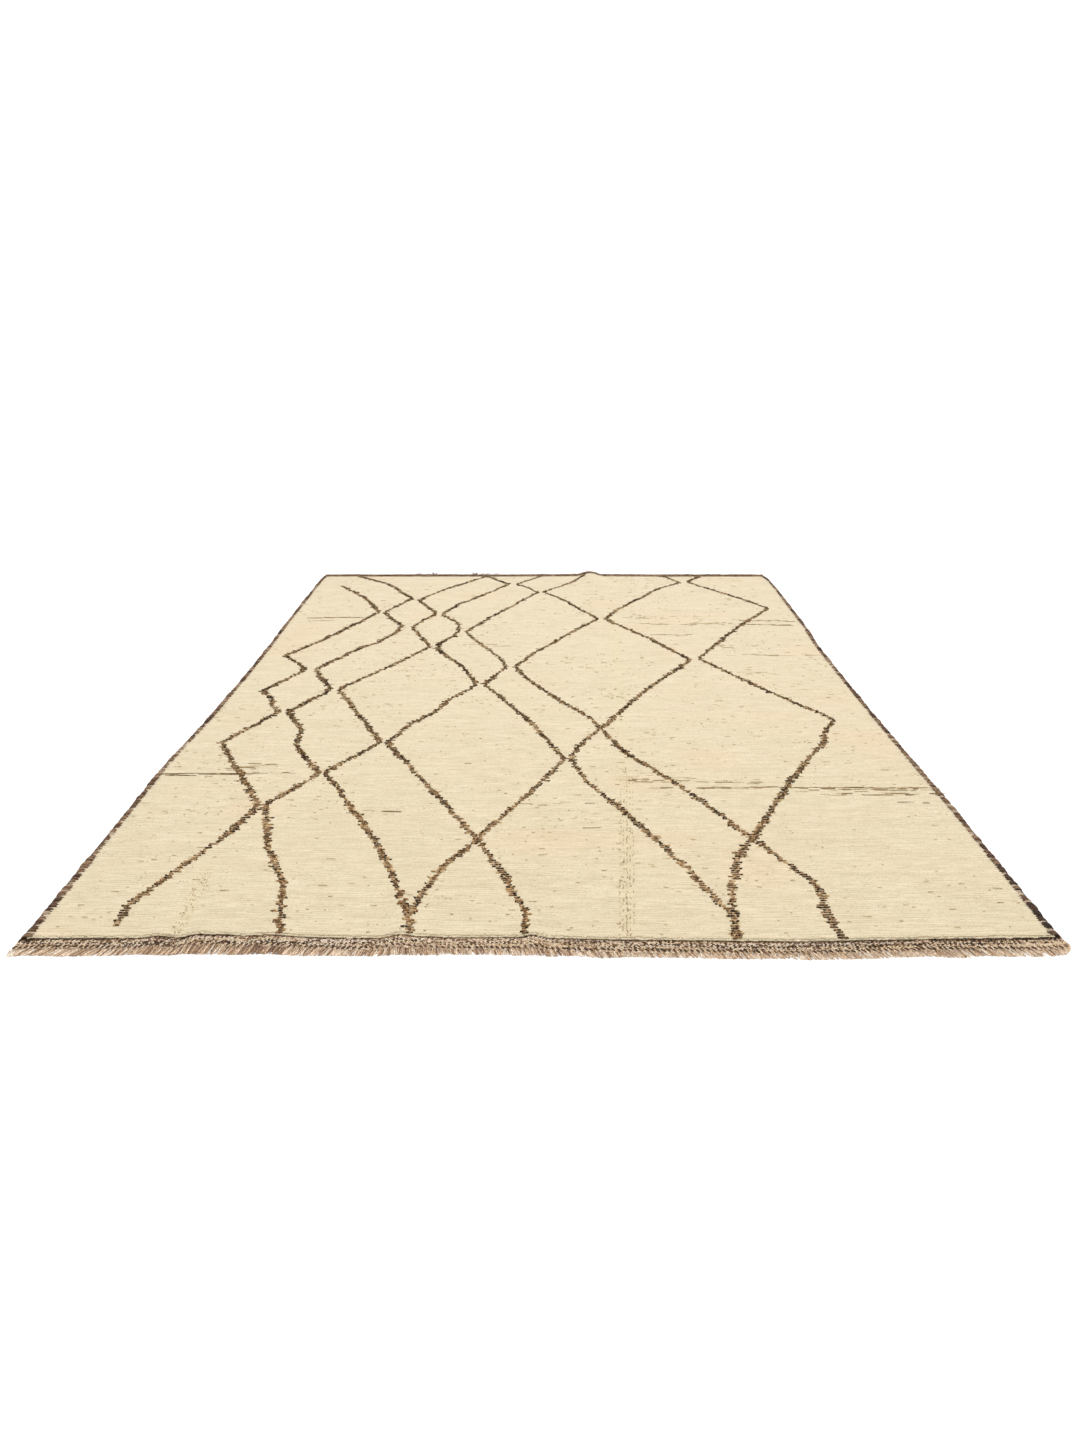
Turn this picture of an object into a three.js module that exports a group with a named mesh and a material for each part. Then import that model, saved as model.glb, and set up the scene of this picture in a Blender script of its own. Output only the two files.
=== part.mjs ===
// A hand-knotted wool pile rug with flat-woven ends, lying flat on the ground.
// Millimetres, +Z up. X runs across the rug, Y along its warp, and the near end is at -Y.
// The rug was woven as one cloth: a short-pile field, and at each end a thin flat-woven band.
// Both long sides carry an overcast cord, and each end a knotted heading with its fringe.

import * as THREE from 'three';

// Driving dimensions of the cloth
const NOMINAL_HALF_WIDTH = 1000;
const NEAR_PILE_EDGE = -1438;
const FAR_PILE_EDGE = 1412;
const PILE_TOP = 10;
const PILE_ROLLOFF = 5;
const WEB_THICKNESS = 4;
const TWINED_LINE_RISE = 1.6;
const SEAT_GAP = 0.3;

// Overcast side cords
const CORD_WIDTH = 15;
const CORD_HEIGHT = 9.5;
const CORD_STATION_PITCH = 52;
const CORD_LUMP = 0.7;
const CORD_LUMP_TURN = 2.3;

// Cord section: out from the cloth as a share of its width, up as a share of its height
const CORD_SECTION = [
  { out: 0, up: 0 },
  { out: 0.86, up: 0 },
  { out: 1, up: 0.42 },
  { out: 0.8, up: 0.86 },
  { out: 0.42, up: 1 },
  { out: 0, up: 0.8 },
];

// Knotted headings and fringe locks
const HEADING_DEPTH = 5;
const HEADING_HEIGHT = 4.6;
const LOCKS_PER_END = 120;
const LOCK_WANDER = 2.6;

// Stages of a lock: how far along it they lie, its width as a share of the pitch, its thickness,
// and how much of a ridge's height it still follows before it comes down to the ground
const LOCK_ROOT = { along: 0, width: 0.72, thickness: HEADING_HEIGHT, lifted: 1 };
const LOCK_MIDDLE = { along: 0.5, width: 0.6, thickness: 3.4, lifted: 0.3 };
const LOCK_TIP = { along: 1, width: 0.34, thickness: 2.2, lifted: 0 };

// Outer edge of each side cord, measured from the rug's centre line: the weaver drew the cloth in
// by some 15 mm beyond the middle, and the far right corner is rounded off
const SIDE_LINE = [
  { y: -1500, left: 998, right: 1003 },
  { y: -900, left: 1002, right: 1001 },
  { y: -640, left: 1006, right: 995 },
  { y: -310, left: 991, right: 988 },
  { y: 90, left: 985, right: 985 },
  { y: 410, left: 987, right: 985 },
  { y: 600, left: 992, right: 996 },
  { y: 1180, left: 998, right: 1004 },
  { y: 1330, left: 999, right: 1003 },
  { y: 1440, left: 997, right: 990 },
  { y: 1500, left: 996, right: 988 },
];

// How far each end line bows outwards, by place across the rug
const NEAR_LINE = [
  { across: -985, bow: 6 },
  { across: -800, bow: 4 },
  { across: -520, bow: -4 },
  { across: -350, bow: 1 },
  { across: -60, bow: -4 },
  { across: 160, bow: 3 },
  { across: 490, bow: 7 },
  { across: 740, bow: -3 },
  { across: 985, bow: -10 },
];
const FAR_LINE = [
  { across: -985, bow: -8 },
  { across: -200, bow: -4 },
  { across: 200, bow: 6 },
  { across: 500, bow: 0 },
  { across: 985, bow: 4 },
];

// Soft ridges left by folding. Each starts at an end of the rug and dies away along it
const NEAR_RIDGES = [
  { across: -735, height: 4, halfWidth: 36, reach: 260, drift: 0 },
  { across: -645, height: 8, halfWidth: 50, reach: 420, drift: 20 },
  { across: -520, height: 4, halfWidth: 75, reach: 340, drift: 0 },
  { across: -258, height: 9, halfWidth: 46, reach: 300, drift: -15 },
  { across: -13, height: 7, halfWidth: 30, reach: 150, drift: 0 },
];
const FAR_RIDGES = [
  { across: 195, height: 14, halfWidth: 62, reach: 380, drift: 30 },
];

// The two ends. Outward is the sign of Y that leads off the rug
const NEAR_END = {
  outward: -1,
  pileEdge: NEAR_PILE_EDGE,
  bandDepth: 30,
  line: NEAR_LINE,
  ridges: NEAR_RIDGES,
  lockLength: { mean: 20, sway: 2.5 },
  lean: { mean: 0.05, sway: 0.22, swayLength: 410 },
};
const FAR_END = {
  outward: 1,
  pileEdge: FAR_PILE_EDGE,
  bandDepth: 34,
  line: FAR_LINE,
  ridges: FAR_RIDGES,
  lockLength: { mean: 27, sway: 5 },
  lean: { mean: -0.04, sway: 0.16, swayLength: 530 },
};

// Twined lines on a flat-woven band, each by the share of the band's depth where it runs
const TWINED_LINES = [0.12, 0.52, 0.84];
const TWINED_HALF_WIDTH = 2.4;

// Where the cloth's grid has columns and rows on a ridge, and how close two of either may come
const RIDGE_COLUMN_SHARES = [-1, -0.5, 0, 0.5, 1];
const RIDGE_ROW_SHARES = [0.18, 0.45, 0.72, 1];
const LEAST_COLUMN_GAP = 11;
const LEAST_ROW_GAP = 45;
const LEAST_BAND_GAP = 0.5;
const LEAST_STATION_GAP = 1;
const ROW_FREE_MARGIN = 20;

const WOOL_CREAM = new THREE.Color('#ead9b4');
const WOOL_DARK = new THREE.Color('#4d3d37');
const WARP_BEIGE = new THREE.Color('#cdb592');

// Straight-line reading of a table with one named key column and one named value column
function readTable(rows, key, value, at) {
  if (at <= rows[0][key]) {
    return rows[0][value];
  }
  const next = rows.findIndex((row) => row[key] >= at);
  if (next === -1) {
    return rows[rows.length - 1][value];
  }
  const low = rows[next - 1];
  const high = rows[next];
  const share = (at - low[key]) / (high[key] - low[key]);
  return THREE.MathUtils.lerp(low[value], high[value], share);
}

// Sorted numbers with those that nearly repeat taken out
function sortedUnique(values, apart) {
  const sorted = [...values].sort((a, b) => a - b);
  return sorted.filter((value, index) => index === 0 || value - sorted[index - 1] > apart);
}

// Evenly spaced numbers from low to high, both ends in
function evenSteps(low, high, spacing) {
  const count = Math.ceil((high - low) / spacing);
  return Array.from({ length: count + 1 }, (_, index) => low + ((high - low) * index) / count);
}

// X of a place across the cloth at a given Y, following the uneven sides
function acrossToX(across, y) {
  const side = across < 0 ? 'left' : 'right';
  return (across / NOMINAL_HALF_WIDTH) * readTable(SIDE_LINE, 'y', side, y);
}

// A smooth hump, 1 at its middle and 0 from a distance of 1 outwards
function hump(distance) {
  const clamped = Math.min(Math.abs(distance), 1);
  return 0.5 + 0.5 * Math.cos(Math.PI * clamped);
}

// Height that one end's ridges lift the cloth to, at a distance inwards from that end
function ridgeLift(end, across, inward) {
  let lift = 0;
  for (const ridge of end.ridges) {
    const along = Math.max(inward, 0) / ridge.reach;
    const middle = ridge.across + ridge.drift * along;
    lift += ridge.height * hump((across - middle) / ridge.halfWidth) * hump(along);
  }
  return lift;
}

// Height of the cloth's underside above the ground
function clothLift(across, y) {
  return ridgeLift(NEAR_END, across, y - NEAR_PILE_EDGE) + ridgeLift(FAR_END, across, FAR_PILE_EDGE - y);
}

// One closed solid from a grid of columns and rows. Cells that are absent leave the solid open there,
// and each border of the cells that are present gets a wall
function gridSolid({ columns, rows, present, place }) {
  const positions = [];
  const indices = [];
  const corners = new Map();

  function vertex(column, row, level) {
    const key = `${column},${row},${level}`;
    if (!corners.has(key)) {
      corners.set(key, positions.length / 3);
      const point = place(column, row, level);
      positions.push(point.x, point.y, point.z);
    }
    return corners.get(key);
  }

  function quad(a, b, c, d) {
    indices.push(a, b, c, a, c, d);
  }

  function isPresent(column, row) {
    const inside = column >= 0 && row >= 0 && column < columns - 1 && row < rows - 1;
    return inside && present(column, row);
  }

  function wall(columnA, rowA, columnB, rowB) {
    quad(
      vertex(columnA, rowA, 'under'),
      vertex(columnB, rowB, 'under'),
      vertex(columnB, rowB, 'top'),
      vertex(columnA, rowA, 'top'),
    );
  }

  for (let column = 0; column < columns - 1; column += 1) {
    for (let row = 0; row < rows - 1; row += 1) {
      if (!isPresent(column, row)) {
        continue;
      }
      quad(
        vertex(column, row, 'top'),
        vertex(column + 1, row, 'top'),
        vertex(column + 1, row + 1, 'top'),
        vertex(column, row + 1, 'top'),
      );
      quad(
        vertex(column, row, 'under'),
        vertex(column, row + 1, 'under'),
        vertex(column + 1, row + 1, 'under'),
        vertex(column + 1, row, 'under'),
      );
      if (!isPresent(column, row - 1)) {
        wall(column, row, column + 1, row);
      }
      if (!isPresent(column + 1, row)) {
        wall(column + 1, row, column + 1, row + 1);
      }
      if (!isPresent(column, row + 1)) {
        wall(column + 1, row + 1, column, row + 1);
      }
      if (!isPresent(column - 1, row)) {
        wall(column, row + 1, column, row);
      }
    }
  }

  const geometry = new THREE.BufferGeometry();
  geometry.setAttribute('position', new THREE.Float32BufferAttribute(positions, 3));
  geometry.setIndex(indices);
  geometry.computeVertexNormals();
  return geometry;
}

// Places across the cloth that carry a grid column
function clothColumns() {
  const fieldEdge = NOMINAL_HALF_WIDTH - CORD_WIDTH;
  const columns = [-NOMINAL_HALF_WIDTH, -fieldEdge, fieldEdge, NOMINAL_HALF_WIDTH];
  for (const end of [NEAR_END, FAR_END]) {
    for (const row of end.line) {
      columns.push(row.across);
    }
    for (const ridge of end.ridges) {
      for (const share of RIDGE_COLUMN_SHARES) {
        columns.push(ridge.across + share * ridge.halfWidth);
      }
    }
  }
  return sortedUnique(columns, LEAST_COLUMN_GAP);
}

// Depths from the pile edge outwards that carry a row of a flat-woven band, with its twined lines
function bandDepths(end) {
  const depths = [0, end.bandDepth];
  for (const share of TWINED_LINES) {
    const middle = share * end.bandDepth;
    depths.push(middle - TWINED_HALF_WIDTH, middle, middle + TWINED_HALF_WIDTH);
  }
  return sortedUnique(depths, LEAST_BAND_GAP);
}

// Thickness of a flat-woven band at a depth from the pile edge outwards
function bandThickness(end, depth) {
  let rise = 0;
  for (const share of TWINED_LINES) {
    rise += TWINED_LINE_RISE * hump((depth - share * end.bandDepth) / TWINED_HALF_WIDTH);
  }
  return WEB_THICKNESS + rise;
}

// Rows of the cloth's grid, each with its Y, its thickness, and the end whose bow moves it
function clothRows() {
  const rows = [];
  for (const end of [NEAR_END, FAR_END]) {
    for (const depth of bandDepths(end)) {
      const y = end.pileEdge + end.outward * depth;
      rows.push({ y, thickness: bandThickness(end, depth), end });
    }
    const shoulder = end.pileEdge - end.outward * PILE_ROLLOFF;
    rows.push({ y: shoulder, thickness: PILE_TOP, end });
  }
  const fieldPlaces = SIDE_LINE.map((row) => row.y);
  for (const end of [NEAR_END, FAR_END]) {
    const reach = Math.max(...end.ridges.map((ridge) => ridge.reach));
    for (const share of RIDGE_ROW_SHARES) {
      fieldPlaces.push(end.pileEdge - end.outward * reach * share);
    }
  }
  const lowest = NEAR_PILE_EDGE + ROW_FREE_MARGIN;
  const highest = FAR_PILE_EDGE - ROW_FREE_MARGIN;
  for (const y of fieldPlaces.filter((place) => place > lowest && place < highest)) {
    rows.push({ y, thickness: PILE_TOP, end: null });
  }
  const sorted = rows.sort((a, b) => a.y - b.y);
  const isSideRow = (y) => SIDE_LINE.some((row) => row.y === y);
  return sorted.filter((row, index) => {
    const nearest = index === 0 ? Infinity : row.y - sorted[index - 1].y;
    return row.end !== null || nearest > LEAST_ROW_GAP || isSideRow(row.y);
  });
}

// The cloth: pile field and both flat-woven bands in one piece
function buildCloth() {
  const columns = clothColumns();
  const rows = clothRows();
  const firstField = rows.findIndex((row) => row.y === NEAR_PILE_EDGE);
  const lastField = rows.findIndex((row) => row.y === FAR_PILE_EDGE);
  const fieldEdge = NOMINAL_HALF_WIDTH - CORD_WIDTH;

  function present(column, row) {
    const inField = row >= firstField && row < lastField;
    const inCord = columns[column] < -fieldEdge || columns[column] >= fieldEdge;
    return !(inField && inCord);
  }

  function place(column, row, level) {
    const across = columns[column];
    const { y, thickness, end } = rows[row];
    const bow = end ? end.outward * readTable(end.line, 'across', 'bow', across) : 0;
    const lift = clothLift(across, y);
    const z = level === 'top' ? lift + thickness : lift;
    return new THREE.Vector3(acrossToX(across, y + bow), y + bow, z);
  }

  return gridSolid({ columns: columns.length, rows: rows.length, present, place });
}

// A side cord, overcast with wool: flat where it rests and where it meets the cloth, round outside
function buildCord(side) {
  const sign = side === 'left' ? -1 : 1;
  const fieldEdge = NOMINAL_HALF_WIDTH - CORD_WIDTH;
  const nearBow = readTable(NEAR_LINE, 'across', 'bow', sign * fieldEdge);
  const farBow = readTable(FAR_LINE, 'across', 'bow', sign * fieldEdge);
  const start = NEAR_PILE_EDGE - nearBow + SEAT_GAP;
  const finish = FAR_PILE_EDGE + farBow - SEAT_GAP;
  const sideRows = SIDE_LINE.map((row) => row.y).filter((y) => y > start && y < finish);
  const evenRows = evenSteps(start, finish, CORD_STATION_PITCH);
  const stations = sortedUnique([...evenRows, ...sideRows], LEAST_STATION_GAP);

  const positions = [];
  stations.forEach((y, index) => {
    const inner = Math.abs(acrossToX(sign * fieldEdge, y)) + SEAT_GAP;
    const lump = CORD_LUMP * Math.sin(index * CORD_LUMP_TURN + sign);
    const width = CORD_WIDTH - SEAT_GAP + lump / 2;
    const height = CORD_HEIGHT + lump;
    for (const point of CORD_SECTION) {
      positions.push(sign * (inner + point.out * width), y, point.up * height);
    }
  });

  const indices = [];
  const count = CORD_SECTION.length;
  function triangle(a, b, c) {
    indices.push(...(sign > 0 ? [a, b, c] : [a, c, b]));
  }
  for (let index = 0; index < stations.length - 1; index += 1) {
    for (let point = 0; point < count; point += 1) {
      const a = index * count + point;
      const b = index * count + ((point + 1) % count);
      triangle(a, a + count, b);
      triangle(b, a + count, b + count);
    }
  }
  const last = (stations.length - 1) * count;
  for (let point = 1; point < count - 1; point += 1) {
    triangle(0, point, point + 1);
    triangle(last, last + point + 1, last + point);
  }

  const geometry = new THREE.BufferGeometry();
  geometry.setAttribute('position', new THREE.Float32BufferAttribute(positions, 3));
  geometry.setIndex(indices);
  geometry.computeVertexNormals();
  return geometry;
}

// A repeatable uneven number between -1 and 1 for each whole number, from two unrelated turns
function scatter(index) {
  return Math.sin(index * 2.39996) * 0.6 + Math.sin(index * 5.1137) * 0.4;
}

// A knotted heading with its fringe locks, lying level on the ground
function buildFringe(end) {
  const pitch = (2 * NOMINAL_HALF_WIDTH) / LOCKS_PER_END;
  const headingStart = end.bandDepth + SEAT_GAP;
  const bandEdge = end.pileEdge + end.outward * end.bandDepth;

  // Two columns for each lock, and one at each end of the heading
  const columns = [{ across: -NOMINAL_HALF_WIDTH, lock: -1, sideways: 0 }];
  for (let lock = 0; lock < LOCKS_PER_END; lock += 1) {
    const middle = -NOMINAL_HALF_WIDTH + pitch * (lock + 0.5);
    columns.push({ across: middle, lock, sideways: -0.5 });
    columns.push({ across: middle, lock, sideways: 0.5 });
  }
  columns.push({ across: NOMINAL_HALF_WIDTH, lock: -1, sideways: 0 });

  // Rows outwards: back of the heading, roots, and the middle and tip of the locks
  const lockStart = headingStart + HEADING_DEPTH;
  const rows = [
    { depth: headingStart, stage: LOCK_ROOT },
    { depth: lockStart, stage: LOCK_ROOT },
    { depth: lockStart, stage: LOCK_MIDDLE },
    { depth: lockStart, stage: LOCK_TIP },
  ];

  function present(column, row) {
    const isLock = columns[column].lock >= 0 && columns[column].lock === columns[column + 1].lock;
    return row === 0 || isLock;
  }

  function place(column, row, level) {
    const { across, lock, sideways } = columns[column];
    const { depth, stage } = rows[row];
    const length = end.lockLength.mean + end.lockLength.sway * scatter(lock);
    const phase = (across / end.lean.swayLength) * 2 * Math.PI;
    const lean = end.lean.mean + end.lean.sway * Math.sin(phase);
    const wander = LOCK_WANDER * scatter(lock + LOCKS_PER_END);
    const sideStep = sideways * pitch * stage.width + stage.along * (length * lean + wander);
    const rootAcross = across + sideways * pitch * LOCK_ROOT.width;
    const bow = readTable(end.line, 'across', 'bow', rootAcross);
    const x = acrossToX(across, bandEdge) + sideStep;
    const y = end.pileEdge + end.outward * (depth + bow + stage.along * length);
    const lift = stage.lifted * ridgeLift(end, rootAcross, 0);
    return new THREE.Vector3(x, y, level === 'top' ? lift + stage.thickness : lift);
  }

  const geometry = gridSolid({ columns: columns.length, rows: rows.length, present, place });
  return end.outward > 0 ? geometry : turnedOut(geometry);
}

// The same solid with every face turned over, for rows that run towards -Y
function turnedOut(geometry) {
  const index = geometry.getIndex();
  for (let face = 0; face < index.count; face += 3) {
    const second = index.getX(face + 1);
    index.setX(face + 1, index.getX(face + 2));
    index.setX(face + 2, second);
  }
  geometry.computeVertexNormals();
  return geometry;
}

function wool(color) {
  return new THREE.MeshStandardMaterial({ color, roughness: 0.95, metalness: 0 });
}

function piece(name, geometry, color) {
  const mesh = new THREE.Mesh(geometry, wool(color));
  mesh.name = name;
  return mesh;
}

const rug = new THREE.Group();
rug.add(piece('rug_cloth', buildCloth(), WOOL_CREAM));
rug.add(piece('side_cord_left', buildCord('left'), WOOL_DARK));
rug.add(piece('side_cord_right', buildCord('right'), WOOL_DARK));
rug.add(piece('fringe_near', buildFringe(NEAR_END), WARP_BEIGE));
rug.add(piece('fringe_far', buildFringe(FAR_END), WARP_BEIGE));

// The group stands with its origin under the middle of its box
const box = new THREE.Box3().setFromObject(rug);
const middle = box.getCenter(new THREE.Vector3());
rug.position.set(-middle.x, -middle.y, -box.min.z);

export default rug;
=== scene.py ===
# A hand-knotted cream wool rug with dark lattice lines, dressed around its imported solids
import logging
import math
from dataclasses import dataclass, field
from enum import Enum

import bpy
import numpy as np
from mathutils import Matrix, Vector


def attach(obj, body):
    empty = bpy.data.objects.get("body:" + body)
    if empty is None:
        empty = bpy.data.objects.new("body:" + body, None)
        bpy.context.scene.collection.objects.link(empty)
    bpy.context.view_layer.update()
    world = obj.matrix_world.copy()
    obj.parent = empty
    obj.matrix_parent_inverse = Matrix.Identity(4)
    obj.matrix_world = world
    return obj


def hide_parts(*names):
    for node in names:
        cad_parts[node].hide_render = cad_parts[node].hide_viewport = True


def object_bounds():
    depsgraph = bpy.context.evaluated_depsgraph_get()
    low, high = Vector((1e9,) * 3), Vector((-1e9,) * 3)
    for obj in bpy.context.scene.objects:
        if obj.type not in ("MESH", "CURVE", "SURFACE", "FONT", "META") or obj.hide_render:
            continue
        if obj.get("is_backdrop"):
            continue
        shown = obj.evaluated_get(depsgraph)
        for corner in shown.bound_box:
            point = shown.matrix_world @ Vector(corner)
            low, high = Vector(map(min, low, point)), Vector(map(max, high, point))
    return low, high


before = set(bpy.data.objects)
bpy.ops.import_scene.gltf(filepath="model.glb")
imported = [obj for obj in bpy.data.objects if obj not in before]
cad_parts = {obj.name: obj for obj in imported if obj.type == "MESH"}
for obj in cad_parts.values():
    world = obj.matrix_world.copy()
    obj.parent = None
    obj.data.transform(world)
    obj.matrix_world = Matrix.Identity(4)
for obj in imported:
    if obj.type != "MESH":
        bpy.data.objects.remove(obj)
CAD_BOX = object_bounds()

log = logging.getLogger("rug")

# Sizes are in millimetres until a mesh is made, and Blender's are in metres
MM = 0.001
BODY = "root"
YARN_LAYER = "yarn"
MAP_LAYER = "OFBake"

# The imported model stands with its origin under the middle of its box, this far from the rug's own
ORIGIN_SHIFT = (1.03, 6.65)

# Turns in radians that never line up again, for uneven numbers without a random draw
FIRST_TURN = 2.39996
SECOND_TURN = 5.1137

# Short names for types
Array = np.ndarray
Generator = np.random.Generator
Socket = bpy.types.NodeSocket
Material = bpy.types.Material
Piece = bpy.types.Object
Pair = tuple[float, float]
Triple = tuple[float, float, float]

# Hex colours, each going over into the next
Palette = tuple[str, ...]

# Pairs of a place and the value there, places rising
Table = tuple[Pair, ...]
LEVEL: Table = ((0, 0),)


class Slot(Enum):
    """The record's material slots."""

    PILE = "wool_pile"
    CORD = "overcast_wool"
    WEAVE = "flat_weave"
    WARP = "warp_fringe"


def linear(colour: str) -> Array:
    """Turns an sRGB hex colour, as "#rrggbb", into red, green and blue in linear light."""
    steps = np.array([int(colour[at:at + 2], 16) for at in (1, 3, 5)]) / 255
    return np.where(steps <= 0.04045, steps / 12.92, ((steps + 0.055) / 1.055) ** 2.4)


def hump(distance: Array | float) -> Array:
    """Gives a smooth hump: 1 where the distance is 0, and 0 where it is 1 or more."""
    return 0.5 + 0.5 * np.cos(np.pi * np.minimum(np.abs(distance), 1))


def scatter(index: Array) -> Array:
    """Gives each whole number its own repeatable uneven number between -1 and 1."""
    return np.sin(index * FIRST_TURN) * 0.6 + np.sin(index * SECOND_TURN) * 0.4


def read_table(table: Table, at: Array | float) -> Array:
    """Reads a table at the given places, in straight lines between its rows."""
    return np.interp(at, *zip(*table))


class SoftNoise:
    """Smooth seeded noise over a plane, between -1 and 1, which repeats after SIZE lumps."""

    SIZE = 97

    def __init__(self, seed: int) -> None:
        """Draws the noise's own table of numbers from a seed."""
        self.table = np.random.default_rng(seed).uniform(-1, 1, (self.SIZE, self.SIZE))

    def at(self, u: Array, v: Array | float) -> Array:
        """Reads the noise.

        Args:
            u: Places along the first direction, one lump a unit.
            v: Places along the second direction.

        Returns:
            The noise at each place.
        """
        u, v = np.broadcast_arrays(np.asarray(u, float), np.asarray(v, float))
        column = np.floor(u).astype(int)
        row = np.floor(v).astype(int)
        share_u = 1 - hump(u - column)
        share_v = 1 - hump(v - row)
        corners = [
            self.table[(row + step_v) % self.SIZE, (column + step_u) % self.SIZE]
            for step_v in (0, 1)
            for step_u in (0, 1)
        ]
        low = corners[0] * (1 - share_u) + corners[1] * share_u
        high = corners[2] * (1 - share_u) + corners[3] * share_u
        return low * (1 - share_v) + high * share_v


def unit(vectors: Array) -> Array:
    """Gives vectors their direction alone, with a length of 1."""
    return vectors / np.linalg.norm(vectors, axis=-1, keepdims=True)


@dataclass(frozen=True)
class Waver:
    """How something strays along a row: how far, over what length, and how unlike the next row is."""

    seed: int
    reach: float
    length: float
    step: float = 0.0

    def at(self, place: Array, row: Array | float = 1.0) -> Array:
        """Gives the stray at each place of a row, between minus and plus the reach."""
        return self.reach * SoftNoise(self.seed).at(place / self.length, row * self.step)


@dataclass(frozen=True)
class Lumps:
    """How something strays over the rug: how far, and in lumps of what width and length."""

    seed: int
    reach: float
    width: float
    length: float

    def at(self, x: Array, y: Array) -> Array:
        """Gives the stray at each place, between minus and plus the reach."""
        return self.reach * SoftNoise(self.seed).at(x / self.width, y / self.length)


@dataclass(frozen=True)
class Ridge:
    """A soft ridge left by folding, which starts at an end of the rug and dies away along it."""

    across: float
    height: float
    half_width: float
    reach: float
    drift: float


@dataclass(frozen=True)
class RugEnd:
    """One end of the rug. Its tables go by place across the rug."""

    name: str

    # The sign of Y that leads off the rug
    outward: int
    pile_edge: float
    band_depth: float

    # How far the end's line bows outwards
    line: Table
    ridges: tuple[Ridge, ...]

    # How much of the pile is worn away at its edge, and how far in from there
    worn_depth: float
    worn_reach: float

    # How much of the band shows before the fringe covers it
    weave_depth: float
    lock_length: float
    length_sway: float

    # How far the loose strands go sideways, as a share of how far they go outwards
    leans: Table

    # How much paler the fringe's fleece is than its usual mix
    paleness: Table

    # How far out the row of dark strands strays
    headings: Table = LEVEL

    # How far the loose strands bulge to the side, and how much nearer the pile they begin
    arcs: Table = LEVEL
    starts: Table = LEVEL

    # How high some of the strands stand
    strays: Table = LEVEL

    # Where the fringe stands open
    partings: tuple[float, ...] = ()

    # How far the strands crowd in from the right corner
    crowding: float = 0

    # How far the band turns up from the floor
    curl: float = 0

    def parted(self, across: Array, half_width: float) -> Array:
        """Tells whether each place across is in an opening of the fringe, of the given half width."""
        return np.any([np.abs(across - place) < half_width for place in self.partings], axis=0)

    def worn(self, y: Array) -> Array:
        """Gives how much of the pile's height is worn away at each place along the rug."""
        inward = self.outward * (self.pile_edge - y)
        return self.worn_depth * hump(np.maximum(inward, 0) / self.worn_reach)

    def ridge_lift(self, across: Array, inward: Array | float) -> Array:
        """Adds up this end's ridges.

        Args:
            across: Places across the rug.
            inward: Distances inwards from the pile edge.

        Returns:
            How high the cloth's underside is lifted at each place.
        """
        lift = np.zeros(np.broadcast(across, inward).shape)
        for ridge in self.ridges:
            along = np.maximum(inward, 0) / ridge.reach
            middle = ridge.across + ridge.drift * along
            lift = lift + ridge.height * hump((across - middle) / ridge.half_width) * hump(along)
        return lift


NEAR = RugEnd(
    name="near",
    outward=-1,
    pile_edge=-1438,
    band_depth=35,
    line=(
        (-1004, 12), (-975, 6), (-800, 4), (-520, -4), (-350, 1), (-60, -4),
        (160, 3), (490, 7), (740, -3), (940, -9), (985, -12.5), (1004, -17),
    ),
    ridges=(
        Ridge(-735, 4, 36, 260, 0), Ridge(-658, 7, 34, 420, 20), Ridge(-612, 6, 56, 380, 20),
        Ridge(-520, 4, 75, 340, 0), Ridge(-268, 8, 40, 300, -15), Ridge(-222, 3, 50, 240, 0),
        Ridge(-13, 7, 30, 150, 0),
    ),
    worn_depth=0.8,
    worn_reach=20,
    weave_depth=32.5,
    lock_length=18.5,
    length_sway=2.8,
    leans=(
        (-985, 0.0), (-968, -1.0), (-836, -1.05), (-832, -0.55), (-600, -0.5), (-330, -0.35),
        (-240, 0.2), (0, 0.4), (600, 0.45), (880, 0.6), (940, 0.55), (970, 0.25), (1000, -0.35),
    ),
    paleness=(
        (-1004, 0.25), (-900, 0.2), (-780, 0), (-700, -0.25), (-480, -0.15), (-380, 0.05), (-100, -0.1),
        (0, 0.05), (100, 0.25), (300, 0.3), (450, 0.1), (650, 0.5), (800, 0.4), (930, 0.25), (1004, 0.3),
    ),
    headings=((-900, -4), (-650, -1), (-400, 0), (150, 3), (500, 3.5), (720, 0), (900, 1)),
    arcs=((950, 0), (980, 5), (1000, 13)),
    starts=((965, 0), (1000, 24)),
    partings=(-826,),
    crowding=40,
)
FAR = RugEnd(
    name="far",
    outward=1,
    pile_edge=1412,
    band_depth=34,
    line=((-985, -14), (-200, -10), (200, 0), (500, -6), (985, -2)),
    ridges=(Ridge(208, 13.5, 66, 380, 20),),
    worn_depth=4.5,
    worn_reach=55,
    weave_depth=30.5,
    lock_length=27,
    length_sway=4,
    leans=((-985, -0.1), (-400, 0.12), (200, -0.15), (985, 0.1)),
    paleness=((-985, 0), (-630, 0), (-570, -0.4), (-240, -0.4), (-180, -0.1), (985, 0)),
    strays=(
        (-985, 2), (-620, 2), (-560, 12), (-230, 12), (-190, 4), (150, 4), (200, 11), (260, 4), (985, 3),
    ),
    curl=0.4,
)


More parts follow.
